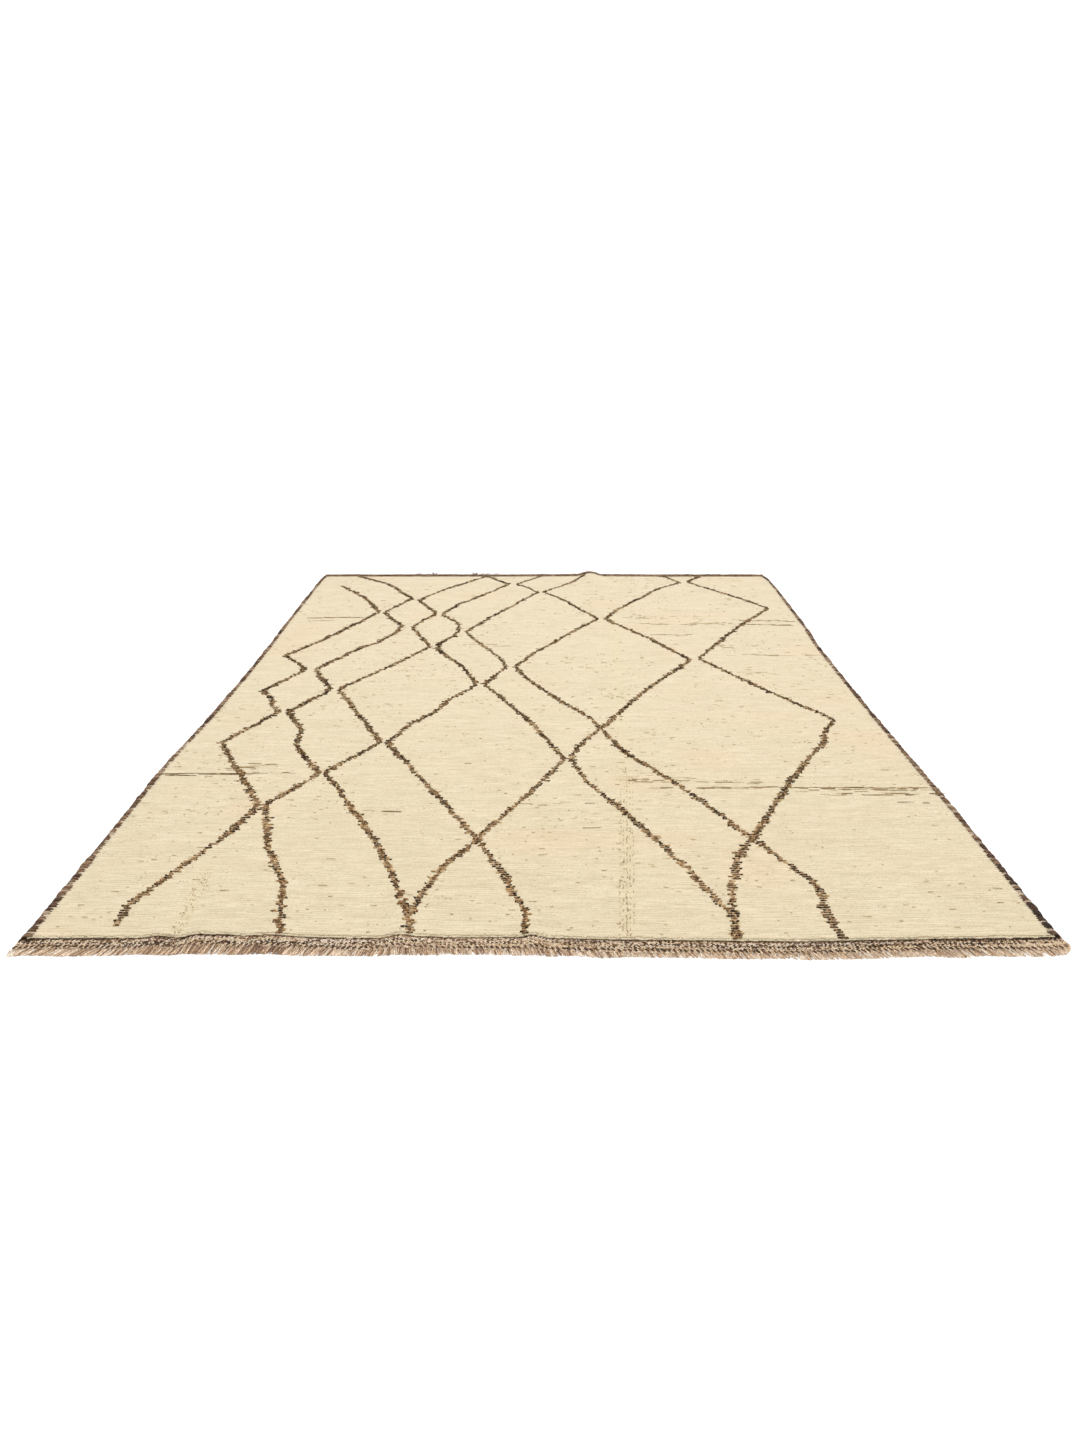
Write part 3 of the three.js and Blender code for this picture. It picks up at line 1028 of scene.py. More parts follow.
@dataclass
class PileField:
    """The cream pile with its wavy rows of knots, one closed cloth down to the floor."""

    creases: tuple[Crease, ...] = CREASES
    columns: int = 128
    under_row_step: int = 8
    under_column_step: int = 4
    underside: float = 0.2
    crest_rise: float = 0.5
    trough_drop: float = 1.7
    unevenness: float = 0.5
    edge_height: float = 4.4
    shoulder_drop: float = 0.9
    lumps: Lumps = Lumps(11, 1.0, 34, 13)
    partings: Lumps = Lumps(12, 1.0, 90, 8.5)

    # Where the wool is warmer: in patches, and more so towards the near end and the left
    patches: Lumps = Lumps(14, 1.6, 230, 150)
    coolness: float = 0.6
    warm_along: Table = ((-1450, 1.1), (-850, 0))
    warm_across: Table = ((-900, 1), (0, 0.55), (600, 0.4))

    # Shares of the map's width that the top and all else take
    map_top: float = 0.84
    map_rest: float = 0.14

    def heights(self, across: Array, step: Array, y: Array) -> Array:
        """Gives the pile's height over the cloth's underside: a crest on each row, a trough between.

        Args:
            across: Places across the rug.
            step: Number of each place's half row, counted from the near end.
            y: Places along the rug.

        Returns:
            The height at each place.
        """
        crests = step % 2 == 1
        lumps = self.lumps.at(across, y)
        partings = np.maximum(self.partings.at(across, y), 0)
        crest = PLAN.pile_top + self.crest_rise + self.unevenness * 0.5 * lumps
        trough = PLAN.pile_top - self.trough_drop - self.unevenness * (lumps + partings)
        height = np.where(crests, crest, trough)
        last = 2 * PLAN.pile_rows
        at_end = (step == 0) | (step == last)
        beside = (step == 1) | (step == last - 1)
        height = np.where(beside, height - self.shoulder_drop, height)
        height = np.where(np.abs(across) > PLAN.field_edge - 1, height - self.shoulder_drop, height)
        for end in PLAN.ends:
            height = height - end.worn(y)
        return np.where(at_end, self.edge_height, height)

    def build(self, material: Material) -> Piece:
        """Makes the field.

        Args:
            material: What it is made of.

        Returns:
            The field's piece.
        """
        steps = np.arange(2 * PLAN.pile_rows + 1)
        along = np.interp(steps, (0, steps[-1]), (NEAR.pile_edge, FAR.pile_edge))
        sideways = np.linspace(-PLAN.field_edge, PLAN.field_edge, self.columns + 1)
        y, across = np.meshgrid(along, sideways, indexing="ij")
        step = np.broadcast_to(steps[:, None], y.shape)
        top = PLAN.place(across, y, self.heights(across, step, y))
        opened = [crease.share(top[..., 0], top[..., 1]) for crease in self.creases]
        top[..., 2] -= sum(crease.depth * share for crease, share in zip(self.creases, opened))
        rows = slice(None, None, self.under_row_step)
        columns = slice(None, None, self.under_column_step)
        under = PLAN.place(across[rows, columns], y[rows, columns], self.underside)
        top_numbers = np.arange(y.size).reshape(y.shape)
        under_numbers = y.size + np.arange(under[..., 0].size).reshape(under.shape[:2])
        faces = closed_slab(top_numbers, under_numbers, self.under_row_step, self.under_column_step)
        warmer = read_table(self.warm_along, y) * read_table(self.warm_across, across)
        warmth = np.clip(self.patches.at(across, y) - self.coolness + warmer, 0, 1)
        inside = (step > 0) & (step < steps[-1])
        # Red marks the troughs between the rows for the material's painted shade, weaker at the field's two
        # ends
        trough_shade_mask = (step % 2 == 0) * np.where(inside, 1, 0.3)
        masks = np.stack([trough_shade_mask, sum(opened), warmth], -1).reshape(-1, 3)
        masks = np.concatenate([masks, np.zeros((under_numbers.size, 3))])
        points = np.concatenate([top.reshape(-1, 3), under.reshape(-1, 3)])
        draft = MeshDraft()
        draft.add(points, masks, {3: faces}, {3: self.map_places(points, faces, y.size)})
        return draft.build("pile_field", material)

    def map_places(self, points: Array, faces: Array, top_count: int) -> Array:
        """Lays the top over most of the map as seen from above, and all else in a strip beside it.

        Args:
            points: The field's points.
            faces: Its triangles.
            top_count: How many of the points belong to the top.

        Returns:
            Map places by face and corner.
        """
        u, v = np.moveaxis(from_above(points)[faces], -1, 0)
        on_top = (faces < top_count).all(1)[:, None]
        u = np.where(on_top, u * self.map_top, 1 - self.map_rest + u * self.map_rest)
        return np.stack([u, v], -1)


@dataclass(frozen=True)
class LatticeLine:
    """A drawn line of the lattice by its main bends, from the far end to the near one: x and y."""

    # How heavy the line is, how heavy at its foot, and how much paler there
    weight: float
    foot_weight: float
    foot_tone: float
    points: tuple[Pair, ...]

    def x_at(self, y: Array) -> Array:
        """Gives the line's X at each place along the rug."""
        xs, ys = np.array(self.points[::-1], float).T
        return np.interp(y, ys, xs)


# The weaver's lines from left to right. Neighbours lean towards each other and nearly meet
LATTICE = (
    LatticeLine(1.1, 1.0, -0.04, (
        (-870, 1215), (-740, 1025), (-645, 815), (-700, 665), (-820, 385), (-890, 265), (-785, 115),
        (-880, -95), (-830, -152), (-811, -226), (-781, -266), (-885, -500), (-770, -710), (-680, -890),
        (-720, -1045), (-828, -1328), (-819, -1408),
    )),
    LatticeLine(1.1, 0.8, 0.22, (
        (-830, 1405), (-665, 1240), (-543, 1015), (-625, 805), (-530, 610), (-549, 512), (-592, 410),
        (-635, 365), (-755, 110), (-664, -75), (-755, -265), (-681, -406), (-678, -495), (-650, -568),
        (-575, -705), (-665, -885), (-610, -1075), (-535, -1250), (-500, -1440),
    )),
    LatticeLine(1.0, 0.88, 0.24, (
        (-253, 1397), (-420, 1155), (-511, 990), (-420, 785), (-495, 610), (-400, 370), (-510, 150),
        (-641, -75), (-575, -215), (-445, -500), (-560, -695), (-495, -820), (-388, -1030), (-328, -1168),
        (-298, -1246), (-278, -1326), (-258, -1374), (-248, -1436),
    )),
    LatticeLine(0.95, 0.9, 0.12, (
        (-253, 1397), (-150, 1245), (-265, 1045), (-338, 935), (-400, 775), (-337, 685), (-312, 590),
        (-322, 497), (-351, 441), (-380, 350), (-270, 155), (-205, -25), (-285, -155), (-314, -265),
        (-370, -345), (-425, -500), (-360, -630), (-265, -810), (-150, -1035), (-77, -1200), (-47, -1312),
        (-24, -1362), (-33, -1404), (-24, -1436),
    )),
    LatticeLine(1.12, 0.95, 0.22, (
        (-130, -1036), (-200, -1155), (-238, -1261), (-248, -1330), (-256, -1372),
    )),
    LatticeLine(0.84, 1.0, 0, (
        (-8, 1405), (-120, 1240), (-85, 1215), (-25, 1115), (-120, 910), (-230, 680), (-286, 533),
        (-245, 440), (-135, 215), (-120, 155), (-185, -25), (-120, -155), (-25, -360), (60, -605),
        (-30, -815), (-152, -1060),
    )),
    LatticeLine(0.9, 1.14, -0.04, (
        (185, 1410), (160, 1370), (115, 1280), (-3, 1110), (65, 1025), (215, 715), (135, 595), (-25, 305),
        (-90, 155), (-46, 15), (5, -75), (155, -335), (165, -385), (230, -570), (330, -735), (435, -945),
        (528, -1145), (573, -1238), (579, -1286), (566, -1328), (580, -1372), (574, -1404), (582, -1440),
    )),
    LatticeLine(0.95, 0.96, 0.1, (
        (530, 1404), (595, 1280), (485, 1175), (275, 815), (235, 725), (355, 520), (505, 230), (320, -85),
        (165, -395), (120, -480), (75, -600), (110, -725), (215, -945), (320, -1185), (344, -1264),
        (382, -1355), (375, -1435),
    )),
    LatticeLine(1.04, 0.86, 0.08, (
        (691, 1404), (625, 1290), (805, 1030), (895, 870), (714, 583), (530, 240), (705, -75),
        (855, -320), (797, -415), (784, -486), (685, -640), (550, -905), (480, -1045), (432, -1130),
        (402, -1240), (390, -1318), (385, -1381), (380, -1440),
    )),
)


@dataclass
class LatticeKnots:
    """The dark lines, knot by knot: in each row of the pile a ragged dash of cut brown tufts."""

    lines: tuple[LatticeLine, ...] = LATTICE
    parts: tuple[str, ...] = ("near", "middle", "far")
    finish: SpunWool = BROWN_KNOTS
    palette: Palette = ("#2b1b0b", "#5d4529", "#876a46", "#b3976f", "#d0ba93")

    # A line's width where it runs along the rug, how much it thins where it runs across, and its edges
    stroke: float = 13.8
    thinning: float = 0.42
    slow_swell: Waver = Waver(22, 0.26, 90, 5.1)
    quick_swell: Waver = Waver(26, 0.16, 31, 2.9)
    raggedness: float = 2.6
    stray_share: float = 0.17
    stray_reach: float = 8

    # How far a bend's outer corner is cut off, read from the line this far to both sides of it
    bend_reach: float = 20
    bend_inset: float = 8

    # How far a line swings off its course, more so towards the far end
    swing: Waver = Waver(21, 1.0, 37, 7.3)
    sway_places: Pair = (-400, 700)
    sways: Pair = (2.6, 4.8)

    # Places along the rug where a line's foot, its far part and the redder fleece begin and end
    foot_places: Pair = (-1300, -1100)
    far_places: Pair = (300, 900)
    red_places: Pair = (-1200, 0)

    # Where a dash lies in the palette, from 0, the darkest fleece, to 1, the palest
    tone: float = 0.33
    slow_tone: Waver = Waver(23, 0.2, 52, 3.7)
    quick_tone: Waver = Waver(24, 0.2, 13, 1.0)
    far_tone: float = -0.08
    redness: Triple = (1.09, 0.965, 0.86)

    # The cut knots
    knot_pitch: float = 4.6
    knot_length: float = 9.5
    knot_width: float = 5.8
    knot_height: float = 3.6
    knot_rise: float = -0.8
    knot_contrast: float = 0.44
    combing: Lumps = Lumps(25, 0.9, 160, 110)

    # The low mass under them
    root_share: float = 0.85
    root_width: float = 5.8
    root_height: float = 2.8
    root_rise: float = -0.5
    root_tone: float = 0.12
    root_bluntness: float = 0.43

    def dashes(self, line: LatticeLine, number: int, rng: Generator) -> Array:
        """Finds one line's dash in each row of the pile that it crosses.

        Args:
            line: The line.
            number: Its number among the lines.
            rng: The random numbers.

        Returns:
            For each dash its left end, its right end, its nominal y and its tone.
        """
        pitch = PLAN.row_pitch
        rows = PLAN.rows
        rows = rows[(rows > line.points[-1][1]) & (rows < line.points[0][1])]
        sway = np.interp(rows, self.sway_places, self.sways)
        middle = line.x_at(rows) + sway * self.swing.at(rows, number)
        beyond = line.x_at(rows + self.bend_reach) + line.x_at(rows - self.bend_reach)
        bend = (beyond / 2 - line.x_at(rows)) / self.bend_reach
        middle = middle + self.bend_inset * bend
        slope = np.abs(line.x_at(rows + pitch / 2) - line.x_at(rows - pitch / 2)) / pitch
        flatness = slope / (1 + slope)
        thickness = 1 + self.slow_swell.at(rows, number) + self.quick_swell.at(rows, number)
        foot = np.interp(rows, self.foot_places, (1, 0))
        weight = line.weight * (1 - foot) + line.foot_weight * foot
        length = self.stroke * weight * thickness * (1 - self.thinning * flatness) + slope * pitch
        ends = []
        for sign in (-1, 1):
            ragged = rng.normal(0, self.raggedness, len(rows))
            strays = (rng.random(len(rows)) < self.stray_share) * rng.uniform(0, self.stray_reach, len(rows))
            ends.append(middle + sign * (length / 2 + ragged + strays))
        tone = self.tone + self.slow_tone.at(rows, number) + self.quick_tone.at(rows, number)
        tone = tone + line.foot_tone * foot + self.far_tone * np.interp(rows, self.far_places, (0, 1))
        return np.stack([*ends, rows, tone], 1)

    def build(self) -> list[Piece]:
        """Makes the lines, parted into stretches of the rug's length.

        Returns:
            The pieces, near ones first.
        """
        rng = np.random.default_rng(31)
        dashes = np.concatenate([self.dashes(line, at, rng) for at, line in enumerate(self.lines)])
        material = self.finish.build()
        bounds = np.linspace(NEAR.pile_edge - 10, FAR.pile_edge + 10, len(self.parts) + 1)
        pieces = []
        for part, low, high in zip(self.parts, bounds[:-1], bounds[1:]):
            own = dashes[(dashes[:, 2] >= low) & (dashes[:, 2] < high)]
            draft = MeshDraft()
            self.rooted(own, rng).add_to(draft)
            self.knots(own, rng).add_to(draft)
            pieces.append(draft.build(f"lattice_knots_{part}", material))
        return pieces

    def coloured(self, rng: Generator, tone: Array, spread: float, y: Array) -> Array:
        """Picks colours of the brown fleece, which is redder towards the near end.

        Args:
            rng: The random numbers.
            tone: Where each lies in the palette.
            spread: How far lightness strays, as a share.
            y: Their places along the rug.

        Returns:
            Linear colours.
        """
        share = np.interp(y, self.red_places, (1, 0))[:, None]
        red = 1 + (np.array(self.redness) - 1) * share
        return picked(rng, self.palette, tone, spread) * red

    def rooted(self, dashes: Array, rng: Generator) -> Yarns:
        """Makes the low mass of each dash, where its knots crowd together.

        Args:
            dashes: The dashes.
            rng: The random numbers.

        Returns:
            One flat tuft for each dash.
        """
        left, right, y, tone = dashes.T
        count = len(y)
        return tufts(
            PLAN.place_at((left + right) / 2, y, PLAN.pile_top + self.root_rise),
            rng.normal(0, 0.04, count),
            (right - left) * self.root_share,
            self.root_width * rng.uniform(0.9, 1.08, count),
            self.root_height,
            self.coloured(rng, tone + self.root_tone + rng.normal(0, 0.1, count), 0.1, y),
            self.root_bluntness,
        )

    def knots(self, dashes: Array, rng: Generator) -> Yarns:
        """Makes the cut knots that stand on each dash.

        Args:
            dashes: The dashes.
            rng: The random numbers.

        Returns:
            The knots.
        """
        left, right, y, tone = dashes.T
        counts = np.maximum(2, np.round((right - left) / self.knot_pitch)).astype(int)
        total = int(counts.sum())
        starts = np.repeat(np.cumsum(counts) - counts, counts)
        share = np.arange(total) - starts + 0.5 + rng.uniform(-0.25, 0.25, total)
        share = share / np.repeat(counts, counts)
        x = np.repeat(left, counts) + np.repeat(right - left, counts) * share
        y = np.repeat(y, counts) + rng.uniform(-0.9, 0.9, total)
        tone = np.repeat(tone, counts) + rng.normal(0, self.knot_contrast, total)
        height = PLAN.pile_top + self.knot_rise + rng.uniform(-0.3, 0.5, total)
        return tufts(
            PLAN.place_at(x, y, height),
            self.combing.at(x, y) + rng.normal(0, 0.2, total),
            self.knot_length * rng.uniform(0.75, 1.15, total),
            self.knot_width * rng.uniform(0.85, 1.1, total),
            self.knot_height * rng.uniform(0.85, 1.15, total),
            self.coloured(rng, tone, 0.12, y),
        )


@dataclass(frozen=True)
class Streak:
    """A length of darker weft or knots across the rug: where it runs, how dark and how close."""

    start: float
    finish: float
    y: float
    tone: float
    cover: float
    slant: float = 0.0


# Streaks of another spinning in the cream, from the near end to the far one
STREAKS = tuple(Streak(*row) for row in (
    (-420, -340, -917, 0.1, 0.95), (870, 935, -858, 0.0, 0.95), (-60, 150, -870, 0.7, 0.5, -8),
    (60, 180, -1000, 0.85, 0.35, 10), (180, 420, -735, 0.75, 0.4), (690, 985, -812, 0.45, 0.7, 4),
    (400, 985, -780, 0.25, 0.9, 2), (255, 330, -782, 0.35, 0.9), (640, 985, -791, 0.6, 0.6, 6),
    (410, 640, -748, 0.8, 0.5, -16), (240, 410, -742, 0.6, 0.55, -6), (190, 285, -730, 0.4, 0.7, -10),
    (-974, -712, -706, -0.1, 1.3, 4), (-960, -725, -714, 0.15, 0.9, 4), (-678, -631, -701, 0.2, 0.8),
    (-812, -717, -672, 0.5, 0.7, 14), (-768, -696, -651, 0.5, 0.8, 12), (640, 764, 85, 0.7, 0.6),
    (587, 952, 277, 0.75, 0.6, 3), (-300, -120, 380, 0.8, 0.5), (618, 769, 379, 0.8, 0.5),
    (410, 556, 515, 0.6, 0.7), (367, 592, 655, 0.55, 0.75, -12), (560, 760, 668, 0.6, 0.6, -10),
    (763, 940, 651, 0.3, 0.85, -20), (735, 945, 698, 0.2, 0.85, -8), (-892, -815, 683, 0.5, 0.7),
    (-905, -715, 716, 0.3, 0.85, 14), (315, 481, 735, 0.6, 0.6), (473, 607, 762, 0.65, 0.6, -12),
))


@dataclass
class StrayKnots:
    """Odd darker knots in the cream: streaks across the rug, scattered flecks and opened creases."""

    streaks: tuple[Streak, ...] = STREAKS
    creases: tuple[Crease, ...] = CREASES
    finish: SpunWool = SpunWool("knotted_mixed_wool", (5, 3, 4), 0.1, (3, 2.2, 3), 0.7)
    palette: Palette = ("#573812", "#836231", "#ad9060", "#c3ad80", "#ccbb93")
    crease_palette: Palette = ("#8f7a58", "#bda27e", "#d0b692", "#d6c8a8", "#dab894")

    # A streak's lengths of yarn: the thinner its cover, the looser they lie
    streak_pitch: float = 9
    streak_lengths: Pair = (14, 52)
    streak_width: float = 2.0
    streak_height: float = 1.3
    streak_rise: float = 0.3
    streak_bluntness: float = 0.42
    streak_tone: float = 0.08
    tightness: float = 0.6
    loosening: float = 18
    cover: float = 0.9
    bunching: Waver = Waver(44, 0.5, 50, 1.0)
    course: Waver = Waver(42, 1.2, 60, 1.0)

    # Flecks lie on the rows of knots, in clusters, and few are long or dark
    fleck_count: int = 3600
    fleck_sides: float = 970
    fleck_margin: float = 12
    fleck_lengths: Triple = (4, 6, 30)
    fleck_height: float = 1.9
    fleck_rise: float = 0.1
    fleck_contrast: float = 0.55
    clusters: Lumps = Lumps(43, 1.0, 190, 120)

    # Opened knots along the creases, side by side, which thin out along the rug
    opened_columns: int = 5
    opened_reach: float = 0.55
    opened_height: float = 2.4
    opened_sink: float = 0.7
    opened_tone: float = 0.55
    opened_shares: Table = ((-1430, 0.75), (-1000, 0.45), (-640, 0.2))

    def build(self) -> list[Piece]:
        """Makes the streaks and flecks in one piece, and the creases' knots in another.

        Returns:
            Both pieces.
        """
        rng = np.random.default_rng(41)
        material = self.finish.build()
        marks = MeshDraft()
        self.streaked(rng).add_to(marks)
        self.flecks(rng).add_to(marks)
        opened = MeshDraft()
        self.opened(rng).add_to(opened)
        return [marks.build("stray_knots", material), opened.build("crease_knots", material)]

    def streaked(self, rng: Generator) -> Yarns:
        """Makes the streaks.

        Args:
            rng: The random numbers.

        Returns:
            Their lengths of yarn.
        """
        lengths = []
        for streak in self.streaks:
            count = int((streak.finish - streak.start) / self.streak_pitch)
            share = (np.arange(count) + rng.random(count)) / count
            x = streak.start + (streak.finish - streak.start) * share
            kept = rng.random(count) < streak.cover * (self.cover + self.bunching.at(x, streak.y))
            spread = self.tightness + self.loosening * max(0, 1 - streak.cover)
            y = streak.y + streak.slant * share + self.course.at(x, streak.y)
            y = y + rng.normal(0, spread, count)
            tone = streak.tone + rng.normal(0, 0.2, count)
            lengths.append(np.stack([x, y, tone], 1)[kept])
        x, y, tone = np.concatenate(lengths).T
        count = len(x)
        return tufts(
            PLAN.place_at(x, y, PLAN.pile_top + self.streak_rise),
            rng.normal(0, 0.02, count),
            rng.uniform(*self.streak_lengths, count),
            self.streak_width * rng.uniform(0.6, 1.2, count),
            self.streak_height,
            picked(rng, self.palette, tone + self.streak_tone, 0.08),
            self.streak_bluntness,
        )

    def flecks(self, rng: Generator) -> Yarns:
        """Makes the scattered flecks.

        Args:
            rng: The random numbers.

        Returns:
            The flecks.
        """
        count = self.fleck_count
        least, mean_more, most = self.fleck_lengths
        x = rng.uniform(-self.fleck_sides, self.fleck_sides, count)
        y = rng.uniform(NEAR.pile_edge + self.fleck_margin, FAR.pile_edge - self.fleck_margin, count)
        clustered = self.clusters.at(x, y) + rng.uniform(-0.9, 0.9, count) > 0
        tone = 1 - self.fleck_contrast * rng.random(count) ** 2.5
        length = np.minimum(least + rng.exponential(mean_more, count), most)
        y = PLAN.rows[np.floor((y - NEAR.pile_edge) / PLAN.row_pitch).astype(int)]
        across = PLAN.across_at(x, y)
        inside = clustered & (np.abs(across) < PLAN.field_edge - 8)
        places = PLAN.place(across, y, PLAN.pile_top + self.fleck_rise)[inside]
        return tufts(
            places,
            rng.normal(0, 0.05, len(places)),
            length[inside],
            rng.uniform(1.8, 3.2, len(places)),
            self.fleck_height,
            picked(rng, self.palette, tone[inside], 0.1),
        )

    def opened(self, rng: Generator) -> Yarns:
        """Makes the knots that stand open along the creases.

        Args:
            rng: The random numbers.

        Returns:
            The knots.
        """
        knots = []
        for crease in self.creases:
            xs, ys = np.array(crease.points).T
            closed = min(ys[-1], self.opened_shares[-1][0])
            rows = PLAN.rows[(PLAN.rows > ys[0]) & (PLAN.rows < closed)]
            fading = read_table(self.opened_shares, rows)
            offsets = np.linspace(-self.opened_reach, self.opened_reach, self.opened_columns)
            for offset in offsets * crease.half_width:
                x = np.interp(rows, ys, xs) + offset + rng.normal(0, 0.8, len(rows))
                kept = rng.random(len(rows)) < fading * (1 - 0.5 * abs(offset) / crease.half_width)
                knots.append(np.stack([x, rows + rng.normal(0, 0.8, len(rows))], 1)[kept])
        x, y = np.concatenate(knots).T
        count = len(x)
        tone = np.clip(rng.normal(self.opened_tone, 0.3, count), 0, 1)
        return tufts(
            PLAN.place_at(x, y, PLAN.pile_top - self.opened_sink),
            rng.normal(np.pi / 2, 0.25, count),
            rng.uniform(4.5, 7.5, count),
            rng.uniform(1.8, 2.6, count),
            self.opened_height,
            picked(rng, self.crease_palette, tone, 0.08),
        )


class Side(Enum):
    """The two long sides, by the sign of X."""

    LEFT = -1
    RIGHT = 1


# How dark each cord is by place along the rug: the right one's first lengths are nearly black
CORD_TONES = {
    Side.LEFT: ((-1400, 0.32), (-1250, 0.36), (-1170, 0.84), (-620, 0.7), (-450, 0.58), (1400, 0.6)),
    Side.RIGHT: (
        (-1400, 0.02), (-1240, 0.12), (-1110, 0.55), (-940, 0.9), (-620, 0.76), (-450, 0.52), (1400, 0.6),
    ),
}

# How much of its reach over the pile each cord has, by place along the rug
CORD_REACHES = {
    Side.LEFT: ((-1400, 1.0), (-1150, 0.95), (-900, 0.66), (0, 0.62)),
    Side.RIGHT: ((-1400, 0.82), (-1150, 0.64), (0, 0.62)),
}

# Where paler wool was wound in for a few turns
CORD_BREAKS = {Side.LEFT: (-1030, -1362), Side.RIGHT: (-905, -655)}


@dataclass
class OvercastCord:
    """A side cord: a bundle of warps wound over with dark yarn, two turns a row of knots.

    The yarn lies in bunches, with a narrow neck between them where paler fibres often show.
    """

    side: Side
    palette: Palette = ("#33241b", "#493427", "#5f4434", "#765942", "#94795f")
    pale: Palette = ("#9a8571", "#baa48e", "#cdb9a2")

    # The winding's path round the cord: out from the pile's edge, and up from the floor
    path: tuple[Pair, ...] = (
        (-9.0, 9.9), (-4.8, 10.8), (-0.2, 10.9), (4.0, 10.0), (7.4, 8.0), (9.6, 5.0), (9.0, 2.4), (6.4, 1.6),
    )
    turns_a_row: int = 2
    reach_sway: float = 2.8
    slant: float = 4.5
    yarn_half_width: float = 2.8
    yarn_half_thickness: float = 1.4

    # How thin the yarn is where it comes out of the pile, and where it ends under the cord
    first_girth: float = 0.45
    last_girth: float = 0.6

    # The bunches, how much thinner the necks between them are, and how far both stray
    bunch_length: float = 27
    bunch_sway: Waver = Waver(54, 16, 45, 1.0)
    bunch_contrast: float = 0.8
    neck: float = 0.3
    plumpness: Waver = Waver(52, 0.18, 40, 3.3)
    break_half_width: float = 8

    # How far from a bunch's middle paler fibres begin to show, nearer to it in the few loose ones
    neck_pale: float = 0.8
    loose_pale: float = 0.5
    loose_share: float = 0.25

    # The bundle of warps inside
    core_rings: int = 90
    core_radii: Pair = (4.4, 3.7)
    core_middle: Pair = (4.2, 4.9)

    def build(self, material: Material) -> Piece:
        """Makes the cord.

        Args:
            material: What it is made of.

        Returns:
            The cord's piece.
        """
        rng = np.random.default_rng(51 + self.side.value)
        draft = MeshDraft()
        self.add_core(draft)
        self.add_winding(draft, rng)
        return draft.build(f"overcast_cord_{self.side.name.lower()}", material)

    def placed(self, out: Array, along: Array, up: Array) -> Array:
        """Turns sizes of the cord's section into points.

        Args:
            out: Distances out from the pile's edge.
            along: Places along the rug.
            up: Heights over the floor.

        Returns:
            The points.
        """
        sign = self.side.value
        edge = PLAN.field_edge * PLAN.side_scale(np.full_like(along, sign), along)
        x = sign * (edge + out) + ORIGIN_SHIFT[0]
        return np.stack(np.broadcast_arrays(x, along + ORIGIN_SHIFT[1], up), -1)

    def run(self) -> Pair:
        """Gives where the cord starts and finishes, at the pile's corners.

        Returns:
            Its lowest and highest place along the rug.
        """
        corner = self.side.value * PLAN.field_edge
        start = NEAR.pile_edge - float(read_table(NEAR.line, corner))
        return start, FAR.pile_edge + float(read_table(FAR.line, corner))

    def add_core(self, draft: MeshDraft) -> None:
        """Adds the bundle of warps under the winding.

        Args:
            draft: The mesh being gathered.
        """
        start, finish = self.run()
        along = np.linspace(start + 2, finish - 2, self.core_rings)
        out, up = self.core_middle
        wide, high = self.core_radii
        centres = self.placed(np.full_like(along, out), along, up)[None]
        sign = self.side.value
        across = np.broadcast_to([wide * sign, 0, 0], centres.shape)
        upward = np.broadcast_to([0, 0, high], centres.shape)
        if sign > 0:
            centres, across, upward = centres[:, ::-1], across[:, ::-1], upward[:, ::-1]
        colours = np.broadcast_to(linear(self.palette[1]), (1, 1, 1, 3))
        ends = np.stack([centres[:, 0], centres[:, -1]], 1)
        Yarns(centres, across, upward, ends, colours, sides=8).add_to(draft)

    def add_winding(self, draft: MeshDraft, rng: Generator) -> None:
        """Adds the wound yarn, turn by turn.

        Args:
            draft: The mesh being gathered.
            rng: The random numbers.
        """
        start, finish = self.run()
        count = self.turns_a_row * round((finish - start) / PLAN.row_pitch)
        middle = start + (np.arange(count) + 0.5) * (finish - start) / count
        middle = middle + rng.normal(0, 0.4, count)
        bunch = (middle + self.bunch_sway.at(middle, self.side.value)) / self.bunch_length
        number = np.floor(bunch)
        from_middle = 2 * np.abs(bunch - number - 0.5)
        plump = 1 - self.neck * from_middle ** 3 + self.plumpness.at(middle, self.side.value)
        out, up = np.array(self.path).T
        rings = len(out)
        inner = np.linspace(1, 0, rings) ** 2.5
        reach = -rng.uniform(-0.4, 1, (count, 1)) * self.reach_sway * inner * plump[:, None]
        taper = np.ones(rings)
        taper[0] = self.first_girth
        taper[-1] = self.last_girth
        over_pile = read_table(CORD_REACHES[self.side], middle)[:, None]
        out = (out + reach) * np.where(out > 0, plump[:, None], over_pile)
        up = np.maximum(up * plump[:, None], self.yarn_half_thickness + 0.1)
        slant = -self.slant * (1 - np.linspace(0, 1, rings)) + rng.normal(0, 0.5, (count, 1))
        along = np.clip(middle[:, None] + slant, start + 1, finish - 1)
        lift = PLAN.lift(np.full(count, self.side.value * PLAN.field_edge), middle)[:, None]
        centres = self.placed(out, along, up + lift)
        axis = unit(np.gradient(centres, axis=1))
        outward = unit(-np.cross(axis, [0, self.side.value, 0]))
        wide = np.cross(outward, axis)
        girth = rng.uniform(0.85, 1.12, (count, 1, 1)) * taper[None, :, None]
        tips = np.stack([centres[:, 0] - axis[:, 0] * 2.0, centres[:, -1] + axis[:, -1]], 1)
        tone = read_table(CORD_TONES[self.side], middle)
        shares = rng.random(int(np.ptp(number)) + 1)[(number - number.min()).astype(int)]
        tone = tone + self.bunch_contrast * (shares - 0.4) + rng.normal(0, 0.24, count)
        colours = picked(rng, self.palette, tone, 0.1)
        parted = from_middle > np.where(shares > 1 - self.loose_share, self.loose_pale, self.neck_pale)
        for place in CORD_BREAKS[self.side]:
            parted |= np.abs(middle - place) < self.break_half_width
        colours[parted] = picked(rng, self.pale, rng.random(int(parted.sum())), 0.1)
